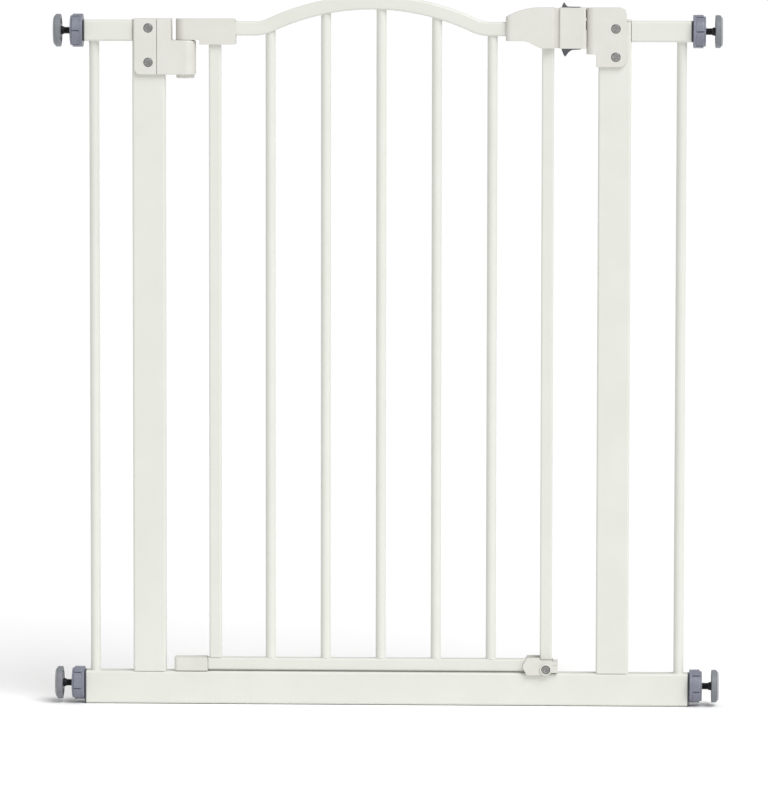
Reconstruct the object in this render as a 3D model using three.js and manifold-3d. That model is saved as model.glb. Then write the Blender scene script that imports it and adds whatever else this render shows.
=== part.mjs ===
// A pressure-fit pet gate for a doorway: a U-shaped steel frame held between two walls by four screw
// feet, with an arched barred door that lifts and swings on two pins and locks with a sliding latch.
// Millimetres. +X to the right, +Y away from the person in front, +Z up. The origin is on the floor,
// midway between the two walls, in the middle of the frame's depth.
import * as THREE from 'three';
import { mergeVertices } from 'three/addons/utils/BufferGeometryUtils.js';
import Module from 'manifold-3d';

const wasm = await Module();
wasm.setup();

// ---- Driving dimensions -----------------------------------------------------------------------------

// Overall frame
const FRAME_HEIGHT = 735;          // floor to the top of the two posts
const RAIL_LENGTH = 646;           // bottom rail, end to end
const LEFT_WING = 51;              // from the left post out to the rail's end
const RIGHT_WING = 63.5;           // from the right post out to the rail's end

// Frame tubes
const FRAME_DEPTH = 20;            // every frame tube, front to back
const BOTTOM_RAIL_HEIGHT = 35;
const POST_WIDTH = 35;
const SIDE_RAIL_HEIGHT = 22.5;
const SIDE_RAIL_DROP = 1.5;        // side rail's top below the post's top
const FRAME_WALL = 1.5;
const FRAME_CORNER = 2.5;          // outer corner radius
const BAR_DIAMETER = 10.8;
const BAR_WALL = 1.0;
const SIDE_BAR_INSET = 9.8;        // side bar's centre from the rail's end
const POST_CAP_THICKNESS = 2.2;
const POST_CAP_DEPTH = 3.5;        // how far the cap's plug goes down inside the post
const PLUG_CORNER = 1.2;           // corner radius of every plug inside a tube

// Door tubes
const DOOR_TUBE = 13;              // stiles and bottom rail, square
const DOOR_RAIL = 15;              // arched top rail, square
const DOOR_WALL = 1.2;
const DOOR_CORNER = 1.8;
const DOOR_FLOOR_GAP = 1.5;        // door's bottom rail above the frame's bottom rail
const SHOULDER_BELOW_TOP = 3;      // top of the top rail's straight ends, below the posts' tops
const ARCH_RISE = 28;
const ARCH_RADIUS = 255;           // crown of the arch, at the tube's centre line
const ARCH_BEND_RADIUS = 40;       // where the arch meets its straight ends, at the centre line
const ARCH_CENTRE_X = -16.5;
const BAR_COUNT = 5;               // round bars between the two stiles

// Hinge side
const HINGE_OFFSET = 21.2;         // pin's axis from the left post's inner face
const HINGE_STILE_OFFSET = 31.9;   // hinge stile's centre from the pin's axis
const PIN_DIAMETER = 8;
const PIN_HEAD_DIAMETER = 12;
const PIN_HEAD_THICKNESS = 4;
const UPPER_PIN_LENGTH = 56.5;
const LOWER_PIN_LENGTH = 38;
const BRACKET_HEIGHT = 59.5;
const BRACKET_SEAM = 8.7;          // seam of the clamp plate, outside the post's inner face
const BRACKET_OVERLAP = 32.7;      // clamp's outer edge, outside the post's inner face
const BRACKET_NOSE = 11.3;         // bracket's rounded nose, beyond the pin's axis
const UPRIGHT_CLEARANCE = 14.6;    // bracket's upright from the pin's axis
const LEDGE_DROP = 23;             // ledge that the door rests on, below the posts' tops
const BOSS_DIAMETER = 19.5;
const BOSS_HEIGHT = 4;
const UPPER_CAP_RADIUS = 10.1;
const UPPER_CAP_LENGTH = 54;       // from the pin's axis to the cap's open end
const UPPER_CAP_STEP = 15.4;       // where the cap steps down, from the pin's axis
const UPPER_CAP_SKIRT = 4.5;       // depth of that step
const LOWER_CAP_REACH = 12.2;       // its outer end, from the pin's axis
const LOWER_CAP_HALF_DEPTH = 10;
const LOWER_CAP_CORNER = 3.5;
const LOWER_CAP_LENGTH = 23.6;     // from the pin's axis to its shoulder against the bottom rail
const LOWER_CAP_HEIGHT = 14.3;
const SPIGOT_LENGTH = 16;

// Latch side
const CATCH_REACH = 12.9;          // catch's face from the right post's inner face
const CATCH_OVERLAP = 29.9;        // cover's outer edge, outside the post's inner face
const CATCH_TOP = 12.5;            // catch's top above the posts' tops
const CATCH_HEIGHT = 63;
const CATCH_BLOCK_HEIGHT = 49.5;
const CATCH_LAP = 2.4;              // cover's lower part, past the right post's inner face
const CATCH_CORNER = 8;
const CHANNEL_WIDTH = 10.4;        // open slot that the latch drops into
const CHANNEL_LENGTH = 10.7;
const CHANNEL_DEPTH = 26.5;
const LATCH_GAP = 0.5;             // between the handle's end and the catch
const LATCH_STILE_OFFSET = 40.1;   // latch stile's centre from the handle's end
const LATCH_TRAVEL = 7;            // how far the slider pulls back
const LIFT_TRAVEL = 12;            // how far the door lifts before it swings
const HANDLE_LENGTH = 85.2;
const HEAD_LENGTH = 28;
const NECK_LENGTH = 5.6;
const NECK_INSET = 2.8;
const HANDLE_END_TOP = 2.5;        // handle's left end above the posts' tops
const HANDLE_DROP = 31;            // handle's lowest line, below the posts' tops
const HANDLE_RISE_LENGTH = 37;     // run over which its top climbs
const HANDLE_STEP_START = 18;      // run before its underside steps down
const HANDLE_STEP_LENGTH = 23;
const HANDLE_STEP = 8;
const SHELL_WALL = 2.4;
const FITTING_DEPTH = 27;          // handle, catch and bracket, front to back
const TONGUE_HEIGHT = 9.5;
const TONGUE_WIDTH = 8.4;
const TONGUE_LENGTH = 8.8;
const BOLT_HEIGHT = 9.5;
const SLIDER_WIDTH = 14;
const FIN_HEIGHT = 5.2;             // above the handle
const LOWER_FIN_HEIGHT = 8.4;       // below the handle
const FIN_LENGTH = 20.6;
const FIN_WIDTH = 11;
const SLOT_WIDTH = 7.4;
const SPRING_RADIUS = 3;
const SPRING_WIRE = 0.9;
const SPRING_COILS = 5;
const SPRING_POCKET_DEPTH = 7;

// Bottom stop
const STOP_LENGTH = 37.5;
const STOP_HALF_DEPTH = 14.2;
const STOP_LAP = 1.8;              // how far its lips hang over the frame's bottom rail
const STOP_RISE = 2.2;             // its top above the door's bottom rail
const STOP_BOSS_DIAMETER = 12.6;
const STOP_BOSS_PROUD = 1.6;
const STOP_SCREW_HEIGHT = 2.9;     // screw's axis above the underside of the door's bottom rail
const STOP_SCREW_SHAFT = 2.4;

// Bracket and handle screws
const SCREW_HEAD = 9.3;
const SCREW_HEAD_THICKNESS = 1.8;
const SCREW_SHAFT = 4.6;
const SCREW_FROM_TOP = 10;         // upper screws, below the posts' tops
const HINGE_SCREW_PITCH = 36.5;
const HINGE_SCREW_INSET = 14.9;    // from the clamp's outer edge
const CATCH_SCREW_PITCH = 30;
const CATCH_SCREW_INSET = 11.7;    // from the cover's outer edge
const HANDLE_SCREW_HEAD = 6.4;
const HANDLE_SCREW_SHAFT = 3;

// Wall adjusters
const THREAD_DIAMETER = 8;
const THREAD_PITCH = 1.25;
const SPINDLE_LENGTH = 70;
const PLUG_FLANGE = 1.4;
const PLUG_DEPTH = 14;
const WHEEL_DIAMETER = 35.5;
const WHEEL_LENGTH = 13.3;
const WHEEL_LOBES = 6;
const NOTCH_WIDTH = 1.8;
const NOTCH_DEPTH = 1.3;
const FOOT_GAP = 10.2;             // between the hand wheel and the foot, as the gate is stored
const FOOT_DIAMETER = 35;
const FOOT_THICKNESS = 5.5;
const PAD_THICKNESS = 2;
const PAD_INSET = 0.8;
const LOWER_ADJUSTER_Z = 21;

// Fits
const JOINT_GAP = 0.3;             // between pieces that are welded, plugged or clamped together
const RUNNING = 0.3;               // radial clearance of pins, bolts and threads
const POST_CLEARANCE = 0.3;        // plastic fittings around the posts and door tubes
const LIP_CLEARANCE = 0.6;         // bottom stop's lips beside the frame's bottom rail
const SCREW_CLEARANCE = 0.3;

// Facets of round shapes
const ROUND = 28;
const CORNER = 3;
const BEND = 6;
const CROWN = 20;

// ---- Derived places ---------------------------------------------------------------------------------

const railEnd = RAIL_LENGTH / 2;
const leftPostOuter = -railEnd + LEFT_WING;
const leftPostInner = leftPostOuter + POST_WIDTH;
const rightPostOuter = railEnd - RIGHT_WING;
const rightPostInner = rightPostOuter - POST_WIDTH;
const halfDepth = FRAME_DEPTH / 2;
const fittingHalf = FITTING_DEPTH / 2;
const postTubeTop = FRAME_HEIGHT - POST_CAP_THICKNESS - JOINT_GAP;
const sideRailTop = FRAME_HEIGHT - SIDE_RAIL_DROP;
const sideRailBottom = sideRailTop - SIDE_RAIL_HEIGHT;
const upperAdjusterZ = sideRailTop - SIDE_RAIL_HEIGHT / 2;

const hingeX = leftPostInner + HINGE_OFFSET;
const hingeStileX = hingeX + HINGE_STILE_OFFSET;
const ledgeZ = FRAME_HEIGHT - LEDGE_DROP;
const bracketBottom = FRAME_HEIGHT - BRACKET_HEIGHT;

const catchX = rightPostInner - CATCH_REACH;
const catchTop = FRAME_HEIGHT + CATCH_TOP;
const handleRight = catchX - LATCH_GAP;
const latchStileX = handleRight - LATCH_STILE_OFFSET;
const doorRight = latchStileX + DOOR_TUBE / 2;

const doorBottom = BOTTOM_RAIL_HEIGHT + DOOR_FLOOR_GAP;
const doorRailTop = doorBottom + DOOR_TUBE;
const shoulderTop = FRAME_HEIGHT - SHOULDER_BELOW_TOP;
const shoulderCentre = shoulderTop - DOOR_RAIL / 2;
const shoulderBottom = shoulderTop - DOOR_RAIL;

const headLeft = handleRight - HEAD_LENGTH;
const neckLeft = headLeft - NECK_LENGTH;
const handleLeft = handleRight - HANDLE_LENGTH;
const handleBottom = FRAME_HEIGHT - HANDLE_DROP;
const cavityLeft = headLeft + SHELL_WALL;
const cavityRight = handleRight - SHELL_WALL;
const sliderLeft = cavityLeft + LATCH_TRAVEL + RUNNING;
const sliderRight = sliderLeft + SLIDER_WIDTH;
const sliderHalf = fittingHalf - 2 * SHELL_WALL;
const channelFloor = catchTop - CHANNEL_DEPTH;
const boltBottom = channelFloor + 3;
const tongueBottom = catchTop - LIFT_TRAVEL + 1;
const springZ = boltBottom - BOLT_HEIGHT;

// ---- Shapes -----------------------------------------------------------------------------------------

const TURN = 2 * Math.PI;

// Points along a circular arc, both ends included.
function arc(cx, cy, radius, from, to, steps) {
  return Array.from({ length: steps + 1 }, (_, i) => {
    const angle = from + ((to - from) * i) / steps;
    return new THREE.Vector2(cx + radius * Math.cos(angle), cy + radius * Math.sin(angle));
  });
}

function circle(cx, cy, radius, steps = ROUND) {
  return arc(cx, cy, radius, 0, TURN, steps).slice(0, steps);
}

// A rectangle whose corners have the radii given for bottom left, bottom right, top right, top left.
function rectangle(x0, x1, y0, y1, radii = [0, 0, 0, 0], steps = CORNER) {
  const corners = [[x0, y0, 1, 1, Math.PI], [x1, y0, -1, 1, 1.5 * Math.PI],
    [x1, y1, -1, -1, 0], [x0, y1, 1, -1, 0.5 * Math.PI]];
  return corners.flatMap(([x, y, dx, dy, start], i) => {
    const radius = radii[i];
    if (radius === 0) return [new THREE.Vector2(x, y)];
    return arc(x + dx * radius, y + dy * radius, radius, start, start + Math.PI / 2, steps);
  });
}

const evenly = (radius) => [radius, radius, radius, radius];

function polygon(pairs) {
  return pairs.map(([x, y]) => new THREE.Vector2(x, y));
}

// An outline swept along Z. Its points are (x, y), and its holes are lists of points.
function alongZ(points, z0, z1, holes = []) {
  const shape = new THREE.Shape(points);
  shape.holes = holes.map((hole) => new THREE.Path(hole));
  const swept = new THREE.ExtrudeGeometry(shape, { depth: z1 - z0, bevelEnabled: false });
  return swept.translate(0, 0, z0);
}

// An outline swept along X. Its points are (y, z).
function alongX(points, x0, x1, holes = []) {
  const turn = new THREE.Matrix4().makeBasis(
    new THREE.Vector3(0, 1, 0), new THREE.Vector3(0, 0, 1), new THREE.Vector3(1, 0, 0));
  return alongZ(points, x0, x1, holes).applyMatrix4(turn);
}

// An outline swept along Y. Its points are (x, z).
function alongY(points, y0, y1, holes = []) {
  return alongZ(points, -y1, -y0, holes).rotateX(Math.PI / 2);
}

function block(x0, x1, y0, y1, z0, z1) {
  const size = [x1 - x0, y1 - y0, z1 - z0];
  return new THREE.BoxGeometry(...size).translate((x0 + x1) / 2, (y0 + y1) / 2, (z0 + z1) / 2);
}

// A profile of (radius, height) pairs turned about Z.
function turned(pairs, steps = ROUND) {
  return new THREE.LatheGeometry(polygon(pairs), steps).rotateX(Math.PI / 2);
}

// ---- Joining and cutting ----------------------------------------------------------------------------

// A closed geometry as a solid, with its faces turned outwards.
function solid(geometry) {
  const bare = new THREE.BufferGeometry().setAttribute('position', geometry.getAttribute('position'));
  bare.setIndex(geometry.getIndex());
  const merged = mergeVertices(bare, 1e-3);
  const index = merged.index.array;
  const triVerts = [];
  for (let i = 0; i < index.length; i += 3) {
    const [a, b, c] = [index[i], index[i + 1], index[i + 2]];
    if (a !== b && b !== c && c !== a) triVerts.push(a, b, c);
  }
  const vertProperties = merged.attributes.position.array;
  const make = (faces) => new wasm.Manifold(
    new wasm.Mesh({ numProp: 3, vertProperties, triVerts: new Uint32Array(faces) }));
  const made = make(triVerts);
  return made.volume() < 0 ? make(triVerts.reverse()) : made;
}

// The first geometry with the others joined to it.
function join(first, ...others) {
  return others.reduce((sum, other) => sum.add(asSolid(other)), asSolid(first));
}

// The first geometry with the others cut from it.
function cut(first, ...others) {
  return others.reduce((rest, other) => rest.subtract(asSolid(other)), asSolid(first));
}

function overlap(first, second) {
  return asSolid(first).intersect(asSolid(second));
}

function asSolid(shape) {
  return shape.isBufferGeometry ? solid(shape) : shape;
}

function geometryOf(manifold) {
  const { vertProperties, triVerts } = manifold.getMesh();
  const geometry = new THREE.BufferGeometry();
  geometry.setAttribute('position', new THREE.BufferAttribute(vertProperties, 3));
  geometry.setIndex(new THREE.BufferAttribute(triVerts, 1));
  const faceted = geometry.toNonIndexed();
  faceted.computeVertexNormals();
  return faceted;
}

// ---- Materials and meshes ---------------------------------------------------------------------------

const finish = (color, roughness, metalness) => () =>
  new THREE.MeshStandardMaterial({ color, roughness, metalness });
const whiteEnamel = finish(0xe9eae3, 0.35, 0.1);
const whitePlastic = finish(0xe4e3dd, 0.5, 0);
const greyPlastic = finish(0x9599a2, 0.55, 0);
const darkPlastic = finish(0x4a4c50, 0.6, 0);
const sliderPlastic = finish(0x8a8a8c, 0.5, 0);
const blackSteel = finish(0x2e2f31, 0.4, 0.8);
const brightSteel = finish(0xa5a6a6, 0.35, 0.9);
const padRubber = finish(0x55585c, 0.9, 0);

function mesh(name, shape, material) {
  const made = new THREE.Mesh(geometryOf(asSolid(shape)), material());
  made.name = name;
  return made;
}

// ---- Frame ------------------------------------------------------------------------------------------

// The wall of a rectangular tube as an outline and its hole.
function tubeSection(x0, x1, y0, y1, wall, corner) {
  const outer = rectangle(x0, x1, y0, y1, evenly(corner));
  const inner = rectangle(x0 + wall, x1 - wall, y0 + wall, y1 - wall, evenly(corner - wall));
  return [outer, [inner]];
}

function bottomRail() {
  const [outer, holes] = tubeSection(
    -halfDepth, halfDepth, 0, BOTTOM_RAIL_HEIGHT, FRAME_WALL, FRAME_CORNER);
  const bushHole = alongZ(
    circle(hingeX, 0, bushRadius + JOINT_GAP), BOTTOM_RAIL_HEIGHT - 2 * FRAME_WALL, BOTTOM_RAIL_HEIGHT + 1);
  return cut(alongX(outer, -railEnd, railEnd, holes), bushHole);
}

// A post standing on the bottom rail, drilled for the two screws of its fitting.
function post(outerX, innerX, screwX, screwHeights) {
  const [x0, x1] = [Math.min(outerX, innerX), Math.max(outerX, innerX)];
  const [outer, holes] = tubeSection(x0, x1, -halfDepth, halfDepth, FRAME_WALL, FRAME_CORNER);
  const tube = alongZ(outer, BOTTOM_RAIL_HEIGHT + JOINT_GAP, postTubeTop, holes);
  return cut(tube, ...screwHeights.map((z) => screwHole(screwX, z)));
}

function screwHole(x, z) {
  const radius = SCREW_SHAFT / 2 + SCREW_CLEARANCE;
  return alongY(circle(x, z, radius, ROUND / 2), -FRAME_DEPTH, FRAME_DEPTH);
}

function postCap(outerX, innerX) {
  const [x0, x1] = [Math.min(outerX, innerX), Math.max(outerX, innerX)];
  const lid = alongZ(rectangle(x0, x1, -halfDepth, halfDepth, evenly(FRAME_CORNER)),
    FRAME_HEIGHT - POST_CAP_THICKNESS, FRAME_HEIGHT);
  const inset = FRAME_WALL + JOINT_GAP;
  const plug = alongZ(
    rectangle(x0 + inset, x1 - inset, -halfDepth + inset, halfDepth - inset, evenly(PLUG_CORNER)),
    FRAME_HEIGHT - POST_CAP_THICKNESS - POST_CAP_DEPTH, FRAME_HEIGHT - POST_CAP_THICKNESS + 0.5);
  return join(lid, plug);
}

function sideRail(postOuterX, endX) {
  const [x0, x1] = postOuterX < 0 ? [endX, postOuterX - JOINT_GAP] : [postOuterX + JOINT_GAP, endX];
  const [outer, holes] = tubeSection(
    -halfDepth, halfDepth, sideRailBottom, sideRailTop, FRAME_WALL, FRAME_CORNER);
  return alongX(outer, x0, x1, holes);
}

// A round tube standing at x, from one height to another.
function roundBar(x, z0, z1) {
  const radius = BAR_DIAMETER / 2;
  return alongZ(circle(x, 0, radius), z0, z1, [circle(x, 0, radius - BAR_WALL)]);
}

const hingeScrewX = leftPostInner - BRACKET_OVERLAP + HINGE_SCREW_INSET;
const catchScrewX = rightPostInner + CATCH_OVERLAP - CATCH_SCREW_INSET;
const upperScrewZ = FRAME_HEIGHT - SCREW_FROM_TOP;
const hingeScrewHeights = [upperScrewZ, upperScrewZ - HINGE_SCREW_PITCH];
const catchScrewHeights = [upperScrewZ, upperScrewZ - CATCH_SCREW_PITCH];
const bushRadius = PIN_DIAMETER / 2 + RUNNING + FRAME_WALL;

function frameTubes() {
  const barBottom = BOTTOM_RAIL_HEIGHT + JOINT_GAP;
  const barTop = sideRailBottom - JOINT_GAP;
  const sideBarX = railEnd - SIDE_BAR_INSET;
  return [
    mesh('bottom_rail', bottomRail(), whiteEnamel),
    mesh('left_post', post(leftPostOuter, leftPostInner, hingeScrewX, hingeScrewHeights), whiteEnamel),
    mesh('right_post', post(rightPostOuter, rightPostInner, catchScrewX, catchScrewHeights), whiteEnamel),
    mesh('left_post_cap', postCap(leftPostOuter, leftPostInner), whitePlastic),
    mesh('right_post_cap', postCap(rightPostOuter, rightPostInner), whitePlastic),
    mesh('left_side_rail', sideRail(leftPostOuter, -railEnd), whiteEnamel),
    mesh('right_side_rail', sideRail(rightPostOuter, railEnd), whiteEnamel),
    mesh('left_side_bar', roundBar(-sideBarX, barBottom, barTop), whiteEnamel),
    mesh('right_side_bar', roundBar(sideBarX, barBottom, barTop), whiteEnamel),
  ];
}

// ---- Screws -----------------------------------------------------------------------------------------

// A pan-head screw along +Y from its head's face at y, with a cross recess.
function screw(x, y, z, head, thickness, shaft, length) {
  const body = turned([[0, 0], [head / 2 - 0.4, 0], [head / 2, 0.5], [head / 2, thickness],
    [shaft / 2, thickness], [shaft / 2, length], [0, length]], ROUND / 2).rotateX(-Math.PI / 2);
  const arm = head * 0.3;
  const slot = head * 0.07;
  const recess = [block(-arm, arm, -1, 1, -slot, slot), block(-slot, slot, -1, 1, -arm, arm)];
  const made = geometryOf(cut(body, ...recess));
  return made.translate(x, y, z);
}

// The face that a bracket screw's head sits on, sunk in the fitting's front.
const sunkFace = -fittingHalf + 0.2;

function bracketScrew(x, z) {
  return screw(x, sunkFace, z, SCREW_HEAD, SCREW_HEAD_THICKNESS, SCREW_SHAFT, 2 * fittingHalf - 2);
}

// The stepped hole for a bracket screw: a recess for its head and a bore for its shaft.
function screwSeat(x, z) {
  const bore = alongY(circle(x, z, SCREW_SHAFT / 2 + SCREW_CLEARANCE, ROUND / 2),
    -2 * fittingHalf, 2 * fittingHalf);
  const recess = alongY(circle(x, z, SCREW_HEAD / 2 + SCREW_CLEARANCE, ROUND),
    -2 * fittingHalf, sunkFace + SCREW_HEAD_THICKNESS + SCREW_CLEARANCE);
  return join(bore, recess);
}

// ---- Hinge side -------------------------------------------------------------------------------------

// The space that a post and its cap fill, with clearance, as seen by the fittings around it.
function postSpace(x0, x1) {
  return block(x0 - POST_CLEARANCE, x1 + POST_CLEARANCE, -halfDepth - POST_CLEARANCE,
    halfDepth + POST_CLEARANCE, 0, FRAME_HEIGHT + POST_CLEARANCE);
}

function hingeBlock() {
  const clampX = leftPostInner - BRACKET_OVERLAP;
  const seamX = leftPostInner - BRACKET_SEAM;
  const noseX = hingeX + BRACKET_NOSE;
  const uprightX = hingeX - UPRIGHT_CLEARANCE;
  const front = [
    ...rectangle(clampX, noseX, bracketBottom, ledgeZ, [7, 0, 3, 0]).slice(0, -1),
    new THREE.Vector2(uprightX, ledgeZ),
    ...rectangle(clampX, uprightX, ledgeZ, FRAME_HEIGHT, [0, 0, 0, 3]).slice(2),
  ];
  const plan = rectangle(clampX - 1, noseX, -fittingHalf, fittingHalf, [0, BRACKET_NOSE, BRACKET_NOSE, 0], BEND);
  const whole = overlap(alongY(front, -fittingHalf, fittingHalf), alongZ(plan, bracketBottom, FRAME_HEIGHT));
  const boss = turned([[0, bracketBottom + 1], [BOSS_DIAMETER / 2, bracketBottom + 1],
    [BOSS_DIAMETER / 2, bracketBottom - BOSS_HEIGHT + 2],
    [BOSS_DIAMETER / 2 - 1.5, bracketBottom - BOSS_HEIGHT], [0, bracketBottom - BOSS_HEIGHT]]);
  const frontOfPlate = block(clampX - 1, seamX + JOINT_GAP / 2, -2 * fittingHalf, 0, 0, 2 * FRAME_HEIGHT);
  const pinBore = alongZ(circle(hingeX, 0, PIN_DIAMETER / 2 + RUNNING), 0, 2 * FRAME_HEIGHT);
  return cut(join(whole, boss.translate(hingeX, 0, 0)), frontOfPlate, pinBore,
    postSpace(leftPostOuter, leftPostInner), ...hingeScrewHeights.map((z) => screwSeat(hingeScrewX, z)));
}

function hingeClamp() {
  const clampX = leftPostInner - BRACKET_OVERLAP;
  const seamX = leftPostInner - BRACKET_SEAM - JOINT_GAP / 2;
  const plate = alongY(rectangle(clampX, seamX, bracketBottom, FRAME_HEIGHT, [7, 0, 0, 3]),
    -fittingHalf, -halfDepth - POST_CLEARANCE);
  return cut(plate, ...hingeScrewHeights.map((z) => screwSeat(hingeScrewX, z)));
}

// A headed pin about Z, from its head's top down.
function hingePin(topZ, length) {
  const [head, shaft] = [PIN_HEAD_DIAMETER / 2, PIN_DIAMETER / 2];
  const bottomZ = topZ - length;
  return turned([[0, topZ], [head, topZ], [head, topZ - PIN_HEAD_THICKNESS],
    [shaft, topZ - PIN_HEAD_THICKNESS], [shaft, bottomZ + 1], [shaft - 1, bottomZ], [0, bottomZ]])
    .translate(hingeX, 0, 0);
}

// The room for a pin inside a cap: a running bore with a wider pocket for the head.
function pinRoom(topZ) {
  const underHead = topZ - PIN_HEAD_THICKNESS - RUNNING;
  const bore = alongZ(circle(hingeX, 0, PIN_DIAMETER / 2 + RUNNING), 0, topZ);
  const pocket = alongZ(circle(hingeX, 0, PIN_HEAD_DIAMETER / 2 + RUNNING), underHead, topZ + RUNNING);
  return join(bore, pocket);
}

const upperPinTop = FRAME_HEIGHT - 5;
const lowerCapBottom = BOTTOM_RAIL_HEIGHT + 0.5;
const lowerPinTop = lowerCapBottom + LOWER_CAP_HEIGHT - 2.6;

function upperHingeCap() {
  const openEnd = hingeX + UPPER_CAP_LENGTH;
  const stepX = hingeX + UPPER_CAP_STEP;
  const seat = ledgeZ + JOINT_GAP;
  const front = [
    ...polygon([[hingeX - UPPER_CAP_RADIUS, seat], [stepX, seat]]),
    ...rectangle(stepX, openEnd, ledgeZ - UPPER_CAP_SKIRT, FRAME_HEIGHT, [0, 3, 3, 0]).slice(0, -1),
    new THREE.Vector2(hingeX - UPPER_CAP_RADIUS, FRAME_HEIGHT),
  ];
  const radii = [UPPER_CAP_RADIUS - 0.01, 0, 0, UPPER_CAP_RADIUS - 0.01];
  const plan = rectangle(hingeX - UPPER_CAP_RADIUS, openEnd + 1, -UPPER_CAP_RADIUS, UPPER_CAP_RADIUS, radii, BEND);
  const whole = overlap(alongY(front, -fittingHalf, fittingHalf), alongZ(plan, 0, 2 * FRAME_HEIGHT));
  const side = DOOR_RAIL / 2 + POST_CLEARANCE;
  const railSpace = block(stepX, openEnd + 1, -side, side,
    shoulderBottom - POST_CLEARANCE, shoulderTop + POST_CLEARANCE);
  const stileHalf = DOOR_TUBE / 2 + POST_CLEARANCE;
  const stileSpace = block(hingeStileX - stileHalf, hingeStileX + stileHalf,
    -stileHalf, stileHalf, 0, shoulderBottom);
  return cut(whole, railSpace, stileSpace, pinRoom(upperPinTop));
}

function lowerHingeCap() {
  const shoulderX = hingeX + LOWER_CAP_LENGTH;
  const radii = [LOWER_CAP_CORNER, 0, 0, LOWER_CAP_CORNER];
  const plan = rectangle(hingeX - LOWER_CAP_REACH, shoulderX, -LOWER_CAP_HALF_DEPTH, LOWER_CAP_HALF_DEPTH, radii, BEND);
  const body = alongZ(plan, lowerCapBottom, lowerCapBottom + LOWER_CAP_HEIGHT);
  const inset = DOOR_WALL + JOINT_GAP;
  const half = DOOR_TUBE / 2 - inset;
  const spigot = alongX(rectangle(-half, half, doorBottom + inset, doorRailTop - inset, evenly(PLUG_CORNER)),
    shoulderX - 1, shoulderX + SPIGOT_LENGTH);
  return cut(join(body, spigot), pinRoom(lowerPinTop));
}

function lowerBush() {
  const bore = PIN_DIAMETER / 2 + RUNNING;
  return alongZ(circle(hingeX, 0, bushRadius), BOTTOM_RAIL_HEIGHT / 2 - 1, BOTTOM_RAIL_HEIGHT - 0.2,
    [circle(hingeX, 0, bore)]);
}

function hingeSide() {
  return [
    mesh('hinge_block', hingeBlock(), whitePlastic),
    mesh('hinge_clamp', hingeClamp(), whitePlastic),
    ...hingeScrewHeights.map((z, i) =>
      mesh(['hinge_screw_upper', 'hinge_screw_lower'][i], bracketScrew(hingeScrewX, z), brightSteel)),
    mesh('lower_hinge_bush', lowerBush(), darkPlastic),
    mesh('upper_hinge_pin', hingePin(upperPinTop, UPPER_PIN_LENGTH), brightSteel),
    mesh('lower_hinge_pin', hingePin(lowerPinTop, LOWER_PIN_LENGTH), brightSteel),
    mesh('upper_hinge_cap', upperHingeCap(), whitePlastic),
    mesh('lower_hinge_cap', lowerHingeCap(), whitePlastic),
  ];
}

// ---- Catch ------------------------------------------------------------------------------------------

// One half of the catch, in front of (side -1) or behind (side 1) the right post.
function catchShell(side) {
  const blockX = rightPostInner - CATCH_LAP;
  const outerX = rightPostInner + CATCH_OVERLAP;
  const blockBottom = catchTop - CATCH_BLOCK_HEIGHT;
  const front = [
    ...rectangle(blockX, outerX, catchTop - CATCH_HEIGHT, catchTop, [0, CATCH_CORNER, CATCH_CORNER, 0], BEND)
      .slice(0, -1),
    ...polygon([[catchX, catchTop], [catchX, blockBottom], [blockX, blockBottom]]),
  ];
  const seam = JOINT_GAP / 2;
  const [near, far] = side < 0 ? [-fittingHalf, -seam] : [seam, fittingHalf];
  const plan = rectangle(catchX, outerX, -fittingHalf, fittingHalf, [CATCH_CORNER, 1, 1, CATCH_CORNER], BEND);
  const whole = overlap(alongY(front, near, far), alongZ(plan, 0, 2 * FRAME_HEIGHT));
  const channel = block(catchX - 1, catchX + CHANNEL_LENGTH, -CHANNEL_WIDTH / 2, CHANNEL_WIDTH / 2,
    channelFloor, catchTop + 1);
  const crownRoom = block(rightPostInner - POST_CLEARANCE, outerX - SHELL_WALL, -halfDepth, halfDepth,
    FRAME_HEIGHT, catchTop - SHELL_WALL);
  return cut(whole, channel, crownRoom, postSpace(rightPostInner, rightPostOuter),
    ...catchScrewHeights.map((z) => screwSeat(catchScrewX, z)));
}

function catchSide() {
  return [
    mesh('catch_front_shell', catchShell(-1), whitePlastic),
    mesh('catch_rear_shell', catchShell(1), whitePlastic),
    ...catchScrewHeights.map((z, i) =>
      mesh(['catch_screw_upper', 'catch_screw_lower'][i], bracketScrew(catchScrewX, z), brightSteel)),
  ];
}

// ---- Door tubes -------------------------------------------------------------------------------------

// The top rail's edge at an offset from its centre line (positive above), from x0 to x1: straight,
// a bend, the crown, a bend and straight again.
function archEdge(offset, x0, x1) {
  const lean = Math.acos(1 - ARCH_RISE / (ARCH_RADIUS + ARCH_BEND_RADIUS));
  const halfSpan = (ARCH_RADIUS + ARCH_BEND_RADIUS) * Math.sin(lean);
  const bend = ARCH_BEND_RADIUS - offset;
  const crown = ARCH_RADIUS + offset;
  const bendZ = shoulderCentre + ARCH_BEND_RADIUS;
  const crownZ = shoulderCentre + ARCH_RISE - ARCH_RADIUS;
  const down = -Math.PI / 2;
  const up = Math.PI / 2;
  return [
    new THREE.Vector2(x0, shoulderCentre + offset),
    ...arc(ARCH_CENTRE_X - halfSpan, bendZ, bend, down, down + lean, BEND),
    ...arc(ARCH_CENTRE_X, crownZ, crown, up + lean, up - lean, CROWN).slice(1, -1),
    ...arc(ARCH_CENTRE_X + halfSpan, bendZ, bend, down - lean, down, BEND),
    new THREE.Vector2(x1, shoulderCentre + offset),
  ];
}

function topRail() {
  const [x0, x1] = [hingeX + UPPER_CAP_STEP + POST_CLEARANCE, doorRight];
  const half = DOOR_RAIL / 2;
  const band = (inset, past) => alongY(
    [...archEdge(-half + inset, x0 - past, x1 + past), ...archEdge(half - inset, x0 - past, x1 + past).reverse()],
    -half + inset, half - inset);
  return cut(band(0, 0), band(DOOR_WALL, 1));
}

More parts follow.
